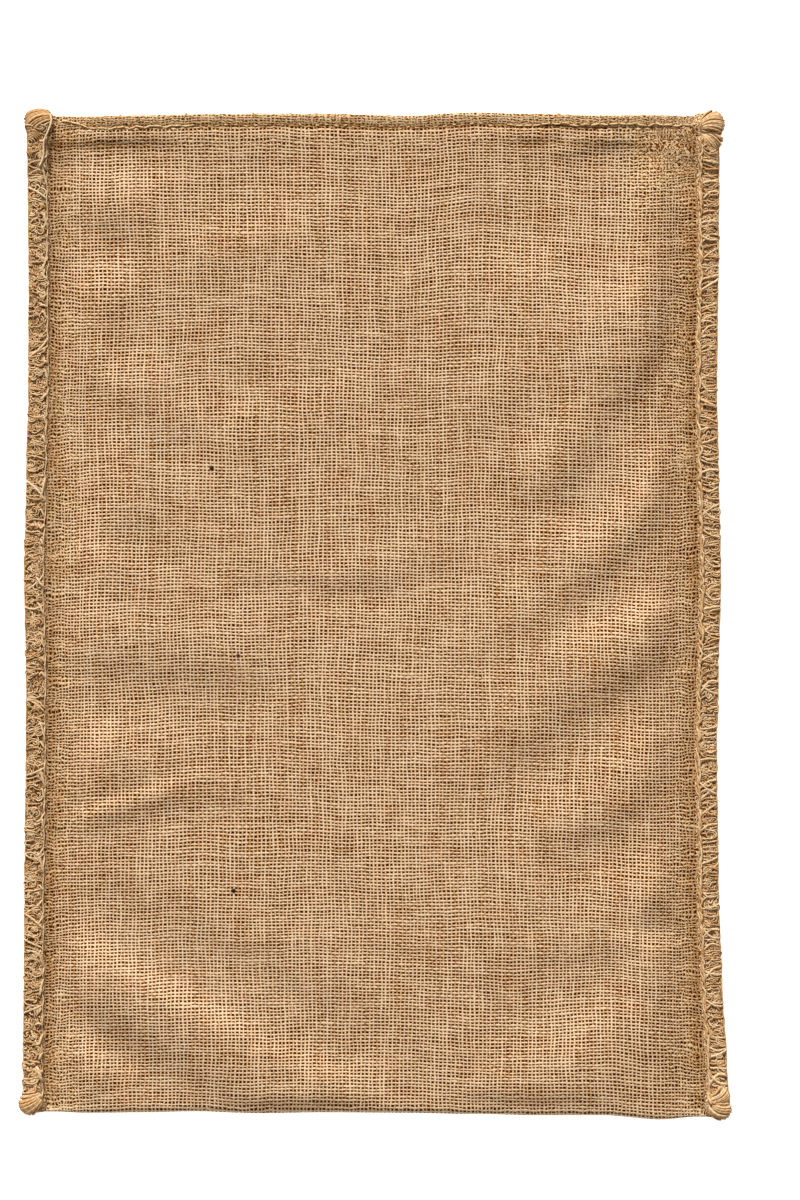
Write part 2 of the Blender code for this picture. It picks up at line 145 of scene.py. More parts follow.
def patchy(x: Array, y: Array, cell: float, seed: int) -> Array:
    """Smooth random values from -1 to 1, one for each cell and eased between cells.

    Args:
        x: Places across.
        y: Places along.
        cell: Size of a cell.
        seed: Which random field.

    Returns:
        The field's value at each place.
    """
    lattice = np.random.default_rng(seed).uniform(-1, 1, (FIELD_CELLS, FIELD_CELLS))
    at_x, at_y = (np.asarray(place) / cell + FIELD_CELLS // 2 for place in (x, y))
    low_x, low_y = np.floor(at_x).astype(int), np.floor(at_y).astype(int)
    share_x, share_y = ease(at_x - low_x), ease(at_y - low_y)
    low_x, low_y = low_x % FIELD_CELLS, low_y % FIELD_CELLS
    next_x, next_y = (low_x + 1) % FIELD_CELLS, (low_y + 1) % FIELD_CELLS
    front = lattice[low_x, low_y] * (1 - share_x) + lattice[next_x, low_y] * share_x
    back = lattice[low_x, next_y] * (1 - share_x) + lattice[next_x, next_y] * share_x
    return front * (1 - share_y) + back * share_y


def layered(x: Array, y: Array, rows: Layers) -> Array:
    """Random fields laid over each other, from rows of (amount, cell, seed)."""
    return sum(amount * patchy(x, y, cell, seed) for amount, cell, seed in rows)


def smooth_line(points: Sequence[Sequence[float]], count: int) -> Array:
    """Resamples a smooth curve through a few points.

    Args:
        points: The curve's own points.
        count: How many points to return.

    Returns:
        Points evenly spaced in the curve's own parameter, as rows.
    """
    own = np.asarray(points, float)
    padded = np.vstack([2 * own[0] - own[1], own, 2 * own[-1] - own[-2]])
    at = np.linspace(0, len(own) - 1, count)
    span = np.minimum(at.astype(int), len(own) - 2)
    t = (at - span)[:, None]
    before, low, high, after = (padded[span + step] for step in range(4))
    return 0.5 * (
        2 * low
        + (high - before) * t
        + (2 * before - 5 * low + 4 * high - after) * t**2
        + (3 * low - before - 3 * high + after) * t**3
    )


def bent_line(start: Sequence[float], bend: Sequence[float], end: Sequence[float], count: int) -> Array:
    """A curve from one point to another that leans towards a third.

    Args:
        start: Where it starts.
        bend: What it leans towards.
        end: Where it ends.
        count: How many points to return.

    Returns:
        Points evenly spaced in the curve's own parameter, as rows.
    """
    start, bend, end = (np.asarray(point, float) for point in (start, bend, end))
    t = np.linspace(0, 1, count)[:, None]
    return start * (1 - t) ** 2 + bend * 2 * t * (1 - t) + end * t * t


def linear(*levels: int) -> Colour:
    """A display colour as the linear colour that shaders take, by the standard display curve.

    Args:
        *levels: Red, green and blue, from 0 to 255.

    Returns:
        The linear colour, opaque.
    """
    channels = []
    for level in levels:
        share = level / 255
        channels.append(share / 12.92 if share <= 0.04045 else ((share + 0.055) / 1.055) ** 2.4)
    return (*channels, 1.0)


# ---- Shader graphs ----


class Graph:
    """A material's node tree, built from short calls.

    What a node takes is a number, a vector, a colour or another node's output.
    """

    def __init__(self, name: str) -> None:
        """Start a material with one Principled shader.

        Args:
            name: The material's name.
        """
        self.material = bpy.data.materials.new(name)
        self.material.use_nodes = True
        self.tree = self.material.node_tree
        self.shader = self.tree.nodes["Principled BSDF"]

    def feed(self, socket: Socket, value: object) -> None:
        """Link a socket to an output, or set its value.

        Args:
            socket: The input.
            value: An output, or the value.
        """
        if isinstance(value, Socket):
            self.tree.links.new(value, socket)
        else:
            socket.default_value = value

    def node(self, kind: str, *values: object, **settings: object) -> bpy.types.Node:
        """Add a node.

        Args:
            kind: The node's type.
            *values: What its first inputs take, in order. None leaves an input as it is.
            **settings: The node's own properties.

        Returns:
            The node.
        """
        made = self.tree.nodes.new(kind)
        for key, value in settings.items():
            setattr(made, key, value)
        for socket, value in zip(made.inputs, values):
            if value is not None:
                self.feed(socket, value)
        return made

    def math(self, operation: str, *values: object, clamp: bool = False) -> Socket:
        """One Math node's result."""
        return self.node("ShaderNodeMath", *values, operation=operation, use_clamp=clamp).outputs[0]

    def plus(self, first: object, second: object, clamp: bool = False) -> Socket:
        """The sum of two numbers."""
        return self.math("ADD", first, second, clamp=clamp)

    def minus(self, first: object, second: object) -> Socket:
        """The difference of two numbers."""
        return self.math("SUBTRACT", first, second)

    def times(self, first: object, second: object, clamp: bool = False) -> Socket:
        """The product of two numbers."""
        return self.math("MULTIPLY", first, second, clamp=clamp)

    def times_plus(self, value: object, factor: object, offset: object) -> Socket:
        """A number times a factor, plus an offset."""
        return self.math("MULTIPLY_ADD", value, factor, offset)

    def varied(self, noise: object, spread: float, middle: float = 0.0) -> Socket:
        """A number that noise changes by its spread in all, around its middle."""
        return self.times_plus(noise, spread, middle - spread / 2)

    def scaled(self, value: object, window: Pair, levels: Pair = (0.0, 1.0)) -> Socket:
        """A value carried smoothly from a window to two levels, held at both ends."""
        return self.node("ShaderNodeMapRange", value, *window, *levels, interpolation_type="SMOOTHSTEP").outputs[0]

    def pair(self, x: object, y: object) -> Socket:
        """Two numbers as a vector."""
        return self.node("ShaderNodeCombineXYZ", x, y).outputs[0]

    def split(self, vector: object) -> tuple[Socket, ...]:
        """A vector's three numbers."""
        return tuple(self.node("ShaderNodeSeparateXYZ", vector).outputs)

    def noise(self, vector: object, scale: float, detail: float = 2.0, colour: bool = False) -> Socket:
        """Flat noise read at a vector.

        Args:
            vector: Where to read it.
            scale: How fine it is.
            detail: How many finer layers lie over it.
            colour: Whether it is wanted as a colour of three values.

        Returns:
            The noise, from 0 to 1 and mostly near a half.
        """
        made = self.node("ShaderNodeTexNoise", vector, noise_dimensions="2D")
        made.inputs["Scale"].default_value = scale
        made.inputs["Detail"].default_value = detail
        return made.outputs["Color" if colour else "Fac"]

    def streaks(self, across: object, along: object, grain: Pair, detail: float) -> Socket:
        """Flat noise with a fineness of its own across and along."""
        place = self.pair(self.times(across, grain[0]), self.times(along, grain[1]))
        return self.noise(place, 1.0, detail)

    def ramp(self, value: object, stops: Sequence[tuple[float, Colour]]) -> Socket:
        """A level as a colour between a few stops.

        Args:
            value: The level, from 0 to 1.
            stops: Each stop's place and colour, in rising order.

        Returns:
            The colour.
        """
        made = self.node("ShaderNodeValToRGB", value)
        bar = made.color_ramp.elements
        while len(bar) < len(stops):
            bar.new(1.0)
        for element, (place, colour) in zip(bar, stops):
            element.position = place
            element.color = colour
        return made.outputs[0]

    def blend(self, share: object, first: object, second: object, mode: str = "MIX") -> Socket:
        """Two colours mixed."""
        ends = (*[None] * 5, first, second)
        return self.node("ShaderNodeMix", share, *ends, data_type="RGBA", blend_type=mode).outputs[2]

    def mixed(self, share: object, first: object, second: object) -> Socket:
        """Two numbers mixed."""
        return self.node("ShaderNodeMix", share, None, first, second, data_type="FLOAT").outputs[0]

    def map(self, name: str) -> Socket:
        """A piece's own UV map."""
        return self.node("ShaderNodeUVMap", uv_map=name).outputs[0]

    def carried(self, name: str) -> Socket:
        """A value that a piece's points carry."""
        return self.node("ShaderNodeAttribute", attribute_name=name).outputs["Fac"]

    def surface(self, colour: object, roughness: float, shine: float) -> None:
        """Give the shader its colour, roughness and shine."""
        for name, value in (("Base Color", colour), ("Roughness", roughness), ("Specular IOR Level", shine)):
            self.feed(self.shader.inputs[name], value)

    def bump(self, height: object, depth: float) -> None:
        """Give the shader a relief.

        Args:
            height: The relief's height, in depths.
            depth: The depth, in metres.
        """
        made = self.node("ShaderNodeBump")
        made.inputs["Distance"].default_value = depth
        self.feed(made.inputs["Height"], height)
        self.feed(self.shader.inputs["Normal"], made.outputs[0])


@dataclass(frozen=True)
class Stain:
    """A dark fleck in the cloth: its place on the front, its radius and its colour."""

    place: Pair
    radius: float
    colour: Colour


@dataclass(frozen=True)
class YarnSet:
    """One of the weave's two sets of yarns, as seen in its finished cloth.

    half_width is in pitches, edge and middle are the yarn's brightness at its side and along its
    middle, a painted shade on its round sides, rise is how much brighter it is where it passes over the
    other set and darker where it passes under, a painted shade at the crossings, and seed sets its
    unevenness apart from the other's.
    """

    half_width: float
    edge: float
    middle: float
    rise: float
    seed: float


@dataclass(frozen=True)
class HessianFinish:
    """Plain-woven jute: round, uneven yarns over and under each other, with dark gaps between them, painted shade of
    the sack's inside seen through them.

    A grain is how fast noise changes across the yarns and along them, in pitches. A spread is how much
    noise changes a value in all, and level_spreads are those of the fibres, the slubs and the long
    streaks. A window is the range in which something comes in. Each push is noise that moves the yarns
    about: its scale, and its distance where the cloth is calm and where it is fully pulled. rings is
    how many bows the tangled yarn makes up each hill of noise.
    """

    name: str = "hessian"
    warp_pitch: float = 0.00388
    weft_pitch: float = 0.00343
    warp: YarnSet = YarnSet(0.32, 0.20, 0.90, 0.02, 3.7)
    weft: YarnSet = YarnSet(0.35, 0.30, 1.04, 0.03, 41.3)
    slub_grain: Pair = (7.31, 0.11)
    streak_grain: Pair = (0.31, 0.012)
    fibre_grain: Pair = (5.0, 0.9)
    width_spread: float = 0.34
    sway_spread: float = 0.44
    level_spreads: Triple = (0.34, 0.36, 0.30)
    fibre_height: float = 0.30
    yarn_height: float = 0.62
    over_height: float = 0.13
    gap_depth: float = 0.8
    yarn_window: Pair = (-0.80, 0.45)
    weft_window: Pair = (-0.16, 0.10)
    pushes: tuple[Triple, ...] = ((95.0, 0.0014, 0.0030), (330.0, 0.0007, 0.0034))
    rings: float = 7.4
    hill_scale: float = 105.0
    hole_scale: float = 520.0
    hole_spread: float = 3.0
    curl_window: Pair = (-1.45, 0.70)
    curl_levels: Pair = (0.40, 0.98)
    curl_height: float = 1.4
    curl_base: float = -0.6
    tangle_window: Pair = (0.35, 1.00)
    most_tangled: float = 0.85
    patch_scale: float = 11.0
    patch_spread: float = 0.06
    relief: float = 0.0008
    contrast: float = 1.82
    pivot: float = 0.895
    shade_window: Pair = (-1.0, 0.5)
    shade_gains: Pair = (2.0, 0.8)
    drawn_window: Pair = (0.10, 0.60)
    drawn_colours: tuple[tuple[float, Colour], ...] = (
        (0.00, linear(70, 33, 2)),
        (0.25, linear(127, 73, 22)),
        (0.48, linear(174, 120, 60)),
        (0.72, linear(214, 168, 112)),
        (1.00, linear(255, 223, 180)),
    )
    # Painted shade, partly dirt beside the seams: the colour is tinted towards this darker brown as the points' shade
    # rises.
    shade_tint_window: Pair = (0.0, 0.45)
    shade_tint: Colour = (0.53, 0.47, 0.40, 1.0)
    colours: tuple[tuple[float, Colour], ...] = (
        (0.00, linear(76, 30, 0)),
        (0.25, linear(127, 60, 0)),
        (0.48, linear(176, 111, 38)),
        (0.72, linear(213, 166, 112)),
        (1.00, linear(253, 222, 184)),
    )
    warm: Colour = linear(232, 178, 136)
    warm_scale: float = 26.0
    warm_window: Pair = (0.35, 0.75)
    most_warm: float = 0.14
    roughness: float = 0.95
    shine: float = 0.02
    stains: tuple[Stain, ...] = ()
    stain_core: float = 0.45

    def yarn(self, graph: Graph, across: Socket, along: Socket, kind: YarnSet, over: Socket) -> tuple[Socket, Socket]:
        """One set of yarns.

        Args:
            graph: The material being built.
            across: The coordinate that counts the yarns.
            along: The coordinate along them, in pitches of the other set.
            kind: The set's own look.
            over: 1 where the set passes over the other, -1 where it passes under.

        Returns:
            The set's height and its brightness, both low where there is no yarn: the dark gaps are painted shade.
        """
        number = graph.math("FLOOR", across)
        own = graph.times_plus(number, self.slub_grain[0], kind.seed)
        slub = graph.noise(graph.pair(own, graph.times(along, self.slub_grain[1])), 1.0, 3.0, colour=True)
        fat, sway, tone = graph.split(slub)
        streak = graph.streaks(own, along, self.streak_grain, 1.0)
        fibres = graph.streaks(across, along, self.fibre_grain, 2.0)
        centred = graph.minus(graph.minus(across, number), 0.5)
        centred = graph.plus(centred, graph.varied(sway, self.sway_spread))
        ratio = graph.math("DIVIDE", centred, graph.varied(fat, self.width_spread, kind.half_width))
        inside = graph.minus(1.0, graph.times(ratio, ratio))
        there = graph.scaled(inside, self.yarn_window)
        profile = graph.math("MAXIMUM", inside, 0.0)
        height = graph.times_plus(profile, self.yarn_height, graph.times(over, self.over_height))
        height = graph.plus(height, graph.varied(fibres, self.fibre_height))
        height = graph.times_plus(graph.plus(height, self.gap_depth), there, -self.gap_depth)
        level = graph.times_plus(profile, kind.middle - kind.edge, kind.edge)
        level = graph.times_plus(over, kind.rise, level)
        for noise, spread in zip((fibres, tone, streak), self.level_spreads):
            level = graph.plus(level, graph.varied(noise, spread))
        return height, graph.times(level, there)

    def pushed(self, graph: Graph, place: Socket, pull: Socket) -> tuple[Socket, Socket]:
        """Move the yarns about, a little where the cloth is calm and more where it is pulled.

        Args:
            graph: The material being built.
            place: The place in the weave.
            pull: How much the cloth is pulled.

        Returns:
            The weave's two coordinates, in metres.
        """
        u, v, _ = graph.split(place)
        for scale, calm, pulled in self.pushes:
            push_u, push_v, _ = graph.split(graph.noise(place, scale, 2.0, colour=True))
            reach = graph.times_plus(pull, pulled, calm)
            u = graph.times_plus(graph.minus(push_u, 0.5), reach, u)
            v = graph.times_plus(graph.minus(push_v, 0.5), reach, v)
        return u, v

    def curls(self, graph: Graph, place: Socket) -> Socket:
        """Brightness of tangled yarn: bows round the hills of a noise, broken by small dark holes of painted shade.

        Args:
            graph: The material being built.
            place: The place in the weave.

        Returns:
            The brightness.
        """
        hills = graph.noise(place, self.hill_scale, 1.5)
        rings = graph.math("COSINE", graph.times(hills, TAU * self.rings))
        holes = graph.varied(graph.noise(place, self.hole_scale, 0.0), self.hole_spread)
        return graph.scaled(graph.plus(rings, holes), self.curl_window, self.curl_levels)

    def coloured(self, graph: Graph, place: Socket, level: Socket, pull: Socket, shade: Socket) -> Socket:
        """Turn brightness into colour, with the cloth's patches, painted shade and light, and stains.

        Args:
            graph: The material being built.
            place: The place in the weave.
            level: The brightness.
            pull: How much the cloth is pulled.
            shade: How much painted shade or, below 0, painted light the jute has, partly dirt beside the seams.

        Returns:
            The colour.
        """
        patches = graph.noise(place, self.patch_scale, 3.0)
        level = graph.plus(level, graph.varied(patches, self.patch_spread))
        level = graph.times_plus(level, self.contrast, (1 - self.contrast) * self.pivot)
        # Painted shade darkens the level here, and painted light (shade below 0) brightens it.
        level = graph.times(level, graph.scaled(shade, self.shade_window, self.shade_gains), clamp=True)
        drawn = graph.scaled(pull, self.drawn_window)
        colour = graph.blend(drawn, graph.ramp(level, self.colours), graph.ramp(level, self.drawn_colours))
        colour = graph.blend(graph.scaled(shade, self.shade_tint_window), colour, self.shade_tint, "MULTIPLY")
        warmth = graph.scaled(graph.noise(place, self.warm_scale), self.warm_window, (0.0, self.most_warm))
        colour = graph.blend(warmth, colour, self.warm, "MULTIPLY")
        for stain in self.stains:
            offset = graph.node("ShaderNodeVectorMath", place, (*stain.place, 0.0), operation="DISTANCE")
            window = (stain.radius * self.stain_core, stain.radius)
            colour = graph.blend(graph.scaled(offset.outputs["Value"], window, (1.0, 0.0)), colour, stain.colour)
        return colour

    def material(self) -> bpy.types.Material:
        """Build the shader.

        Returns:
            The material.
        """
        graph = Graph(self.name)
        place = graph.map(WEAVE_MAP)
        pull, shade = graph.carried(PULL), graph.carried(SHADE)
        u, v = self.pushed(graph, place, pull)
        a, b = graph.math("DIVIDE", u, self.warp_pitch), graph.math("DIVIDE", v, self.weft_pitch)
        i, j = graph.math("FLOOR", a), graph.math("FLOOR", b)
        side = graph.times_plus(graph.math("PINGPONG", graph.plus(i, j), 1.0), -2.0, 1.0)
        half_a = graph.minus(graph.minus(a, i), 0.5)
        half_b = graph.minus(graph.minus(b, j), 0.5)
        warp_over = graph.times(graph.math("COSINE", graph.times(half_b, math.pi)), side)
        weft_over = graph.times(graph.math("COSINE", graph.times(half_a, math.pi)), side)
        weft_over = graph.times(weft_over, -1.0)
        warp_height, warp_level = self.yarn(graph, a, b, self.warp, warp_over)
        weft_height, weft_level = self.yarn(graph, b, a, self.weft, weft_over)
        height = graph.math("MAXIMUM", warp_height, weft_height)
        weft_shows = graph.scaled(graph.minus(weft_height, warp_height), self.weft_window)
        level = graph.mixed(weft_shows, warp_level, weft_level)
        curl = self.curls(graph, place)
        tangled = graph.scaled(pull, self.tangle_window, (0.0, self.most_tangled))
        level = graph.mixed(tangled, level, curl)
        height = graph.mixed(tangled, height, graph.times_plus(curl, self.curl_height, self.curl_base))
        graph.surface(self.coloured(graph, place, level, pull, shade), self.roughness, self.shine)
        graph.bump(height, self.relief)
        return graph.material


@dataclass(frozen=True)
class YarnFinish:
    """Twisted jute yarn: slanting plies, fine fibre streaks along the strand, and painted shade, darker and browner,
    on its sides.

    fibre_grain is how fast the streaks change round the strand and, for each metre, along it.
    """

    name: str
    twist_pitch: float = 0.0052
    plies: float = 2.0
    ply_height: float = 0.32
    ply_level: float = 0.10
    fibre_grain: Pair = (6.0, 160.0)
    fibre_level: float = 0.42
    blotch_scale: float = 60.0
    blotch_step: float = 37.0
    blotch_level: float = 0.30
    tone_spread: float = 0.50
    relief: float = 0.00022
    dark: Colour = linear(120, 70, 24)
    middle: Colour = linear(224, 175, 118)
    light: Colour = linear(255, 241, 206)
    middle_stop: float = 0.48
    light_stop: float = 0.95
    # Painted shade: the strand's sides, which face away from up, are tinted with this darker brown.
    between: Colour = (0.46, 0.30, 0.16, 1.0)
    side_shade: float = 0.85
    side_shade_window: Pair = (0.10, 0.80)
    roughness: float = 0.88
    shine: float = 0.06

    def material(self) -> bpy.types.Material:
        """Build the shader.

        Returns:
            The material.
        """
        graph = Graph(self.name)
        around, along, _ = graph.split(graph.map(YARN_MAP))
        tone = graph.carried(TONE)
        phase = graph.plus(graph.times(around, self.plies), graph.math("DIVIDE", along, self.twist_pitch))
        wave = graph.math("COSINE", graph.times(phase, TAU))
        fibres = graph.streaks(phase, along, self.fibre_grain, 3.0)
        blotches = graph.noise(graph.pair(graph.times(tone, self.blotch_step), along), self.blotch_scale)
        height = graph.plus(graph.times(wave, self.ply_height), fibres)
        level = graph.times_plus(wave, self.ply_level, self.ply_level)
        level = graph.plus(level, graph.times(fibres, self.fibre_level))
        level = graph.plus(level, graph.times(blotches, self.blotch_level))
        level = graph.plus(level, graph.varied(tone, self.tone_spread), clamp=True)
        stops = ((0.0, self.dark), (self.middle_stop, self.middle), (self.light_stop, self.light))
        # Painted shade on the sides, by how far the surface turns away from up.
        _, _, upward = graph.split(graph.node("ShaderNodeNewGeometry").outputs["Normal"])
        painted_side_shade = graph.scaled(upward, self.side_shade_window, (self.side_shade, 0.0))
        colour = graph.blend(painted_side_shade, graph.ramp(level, stops), self.between, "MULTIPLY")
        graph.surface(colour, self.roughness, self.shine)
        graph.bump(height, self.relief)
        return graph.material


STAINS = (
    Stain((-0.1637, 0.1461), 0.0034, linear(70, 38, 20)),
    Stain((-0.1357, -0.0442), 0.0030, linear(112, 52, 34)),
    Stain((-0.1421, -0.2772), 0.0034, linear(52, 34, 20)),
)
HESSIAN = HessianFinish(stains=STAINS)
SEAM_YARN = YarnFinish("seam yarn")
STITCH_YARN = YarnFinish(
    "stitch yarn", dark=linear(140, 88, 36), middle=linear(228, 180, 120), light=linear(255, 232, 184)
)
LOOSE_YARN = YarnFinish(
    "loose yarn", dark=linear(178, 134, 84), middle=linear(242, 206, 156), light=linear(255, 242, 210)
)


# ---- The sack's shape ----


# The bearing of a fold's upper side, on which its trough lies.
FOLD_UPPER_SIDE = math.radians(108)
# Parts of a fold's line, the share of it in which each end fades, and what is left at the very end.
FOLD_PARTS = 10
FOLD_FADE = 0.22
FOLD_END = 0.25


@dataclass(frozen=True)
class Outline:
    """The flat sack's wavy outline.

    Rows of sides are a Y, and how far the left and the right edge stand out past half_width there. Rows
    of ends are an X, and how far the mouth and the bottom stand out past half_length there.
    """

    half_width: float = 0.350
    half_length: float = 0.500
    sides: tuple[Triple, ...] = (
        (-0.483, 0.0032, 0.0043), (-0.444, 0.0032, 0.0022), (-0.366, 0.0025, -0.0022),
        (-0.290, 0.0021, -0.0054), (-0.140, 0.0005, -0.0075), (-0.075, 0.0000, -0.0060),
        (0.041, 0.0021, -0.0035), (0.138, 0.0000, -0.0055), (0.236, -0.0022, -0.0075),
        (0.352, -0.0022, -0.0054), (0.488, -0.0011, -0.0054),
    )
    ends: tuple[Triple, ...] = (
        (-0.322, -0.0015, -0.0020), (-0.290, -0.0024, -0.0008), (-0.225, -0.0012, -0.0014),
        (-0.182, -0.0002, -0.0024), (-0.117, 0.0005, -0.0005), (-0.053, 0.0003, -0.0014),
        (0.033, -0.0015, -0.0008), (0.098, 0.0015, 0.0003), (0.162, 0.0000, 0.0015),
        (0.227, -0.0015, 0.0015), (0.286, -0.0010, 0.0058), (0.322, -0.0015, 0.0032),
    )

    def reach(self, y: Value, side: Side) -> Array:
        """Distance from the middle to a seam's outer edge."""
        return self.half_width + eased_table(y, self.sides, 1 if side is Side.LEFT else 2)

    def mouth(self, x: Value) -> Array:
        """Y of the mouth's folded edge."""
        return self.half_length + eased_table(x, self.ends, 1)

    def bottom(self, x: Value) -> Array:
        """Y of the bottom fold's outside."""
        return -self.half_length - eased_table(x, self.ends, 2)


@dataclass(frozen=True)
class Fold:
    """A soft fold of the front along a bent line: a ridge on its lower side and a trough on its upper.

    A height below 0 turns them round. The half width is from the line to the ridge's top.
    """

    start: Pair
    bend: Pair
    end: Pair
    height: float
    half_width: float

    def effect(self, x: Array, y: Array) -> Array:
        """Work out the height that the fold gives the front.

        Args:
            x: Places across.
            y: Places along.

        Returns:
            The height at each place.
        """
        upper = (math.cos(FOLD_UPPER_SIDE), math.sin(FOLD_UPPER_SIDE))
        spine = bent_line(self.start, self.bend, self.end, FOLD_PARTS + 1)
        away = np.full(x.shape, np.inf)
        progress, offset, beyond = np.zeros((3, *x.shape))
        for part, (low, high) in enumerate(zip(spine, spine[1:])):
            run = high - low
            length = np.linalg.norm(run)
            share = ((x - low[0]) * run[0] + (y - low[1]) * run[1]) / length**2
            held = np.clip(share, 0, 1)
            gap = np.hypot(x - low[0] - run[0] * held, y - low[1] - run[1] * held)
            across = np.array([-run[1], run[0]]) / length
            if across @ upper < 0:
                across = -across
            nearer = gap < away
            away = np.where(nearer, gap, away)
            progress = np.where(nearer, (part + held) / FOLD_PARTS, progress)
            offset = np.where(nearer, (x - low[0]) * across[0] + (y - low[1]) * across[1], offset)
            beyond = np.where(nearer, (share - held) * length, beyond)
        ends = ease(np.minimum(progress, 1 - progress) / FOLD_FADE + FOLD_END)
        ends = ends * np.exp(-0.5 * (beyond / self.half_width) ** 2)
        ratio = offset / self.half_width
        return -self.height * ends * ratio * np.exp(0.5 * (1 - ratio**2))


def folds_from(rows: Sequence[tuple[float, ...]]) -> tuple[Fold, ...]:
    """Folds from rows of millimetres: start, bend, end, height and half width."""
    return tuple(Fold(tuple(row[:2]), tuple(row[2:4]), tuple(row[4:6]), *row[6:]) for row in np.array(rows) / 1000)


MAIN_FOLDS = folds_from((
    (301, 448, 246, 473, 290, 301, 3.9, 28),
    (326, 364, 258, 185, 167, 93, -7, 32),
    (110, 347, 239, 393, 326, 474, 1.6, 36),
    (279, 339, 204, 309, 75, 366, 1.5, 39),
    (276, 209, 222, 114, 137, 53, 2.4, 32),
    (326, 177, 270, 29, 123, -31, -3.4, 23),
    (96, 162, 173, 238, 256, 250, -2.4, 33),
    (326, 30, 247, -30, 140, 0, 3.3, 32),
    (321, -3, 230, -96, 134, -163, -3.8, 32),
    (326, -111, 186, -91, 143, -238, 2.5, 28),
    (285, -144, 276, -225, 191, -225, -2.2, 21),
    (303, -202, 288, -274, 190, -298, 2.1, 40),
    (312, -302, 300, -297, 266, -292, -3.8, 20),
    (248, -322, 271, -439, 98, -434, 4.1, 38),
    (78, -485, 170, -485, 204, -485, -1.6, 12),
    (-326, 485, -322, 434, -187, 435, 3.3, 31),
    (-233, 371, -139, 393, -63, 403, 1.7, 28),
    (-234, 343, -300, 340, -326, 350, 3.2, 24),
    (-278, 237, -260, 208, -160, 169, -2.4, 24),
    (-275, 237, -259, 179, -265, 85, 3.6, 25),
    (-232, 205, -203, 167, 16, 254, 1.1, 24),
    (-301, 76, -288, 67, -177, 36, 1.1, 14),
    (-326, -38, -277, -62, -95, -64, -3.2, 31),
    (-314, -125, -285, -123, -255, -101, 3.8, 32),
    (-326, -230, -262, -204, -183, -182, -1.1, 11),
    (-326, -254, -170, -182, -125, -185, -0.8, 16),
    (-326, -304, -199, -382, 7, -475, 7.9, 30),
    (-195, -352, -143, -303, -36, -453, -1.4, 27),
    (-326, -355, -268, -376, -161, -485, -1.1, 19),
    (-257, -474, -292, -415, -326, -419, 3.3, 18),
    (-57, -481, -123, -484, -143, -423, 2.3, 21),
    (-73, 23, 8, 25, 74, 55, -0.9, 18),
))

# Finer creases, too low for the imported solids.
CREASES = folds_from((
    (-311, -200, -236, -183, -160, -148, 0.8, 7),
    (232, -320, 270, -324, 309, -328, 0.6, 8),
    (-36, -44, 55, -41, 145, -44, -0.2, 6),
    (-148, 37, -50, 32, 42, 22, -0.7, 11),
    (-61, 450, -64, 150, -58, -200, -0.2, 6),
    (38, 348, 40, 280, 38, 216, -0.4, 7),
    (210, -211, 214, -300, 208, -390, -0.2, 9),
    (-294, -429, -276, -437, -258, -454, 0.9, 13),
    (-311, 68, -286, 70, -260, 66, 0.3, 15),
    (-300, 404, -284, 395, -272, 382, -0.8, 15),
    (-180, -338, -60, -330, 100, -336, -0.3, 8),
    (169, 470, 205, 476, 241, 484.5, 2.2, 4.4),
    (176, 464, 212, 469, 247, 476.5, 1.6, 4),
    (244, 476, 282, 472.5, 316, 466, 1.6, 4.2),
))

# How high the turned-in hem's edge stands under the front, in rows of an X and a height.
HEM_ENDS = (
    (-0.320, 0.0026), (-0.268, 0.0024), (-0.225, 0.0014),
    (-0.180, 0.0005), (0.110, 0.0004), (0.165, 0.0020),
    (0.235, 0.0020), (0.275, 0.0011), (0.315, 0.0020),
)


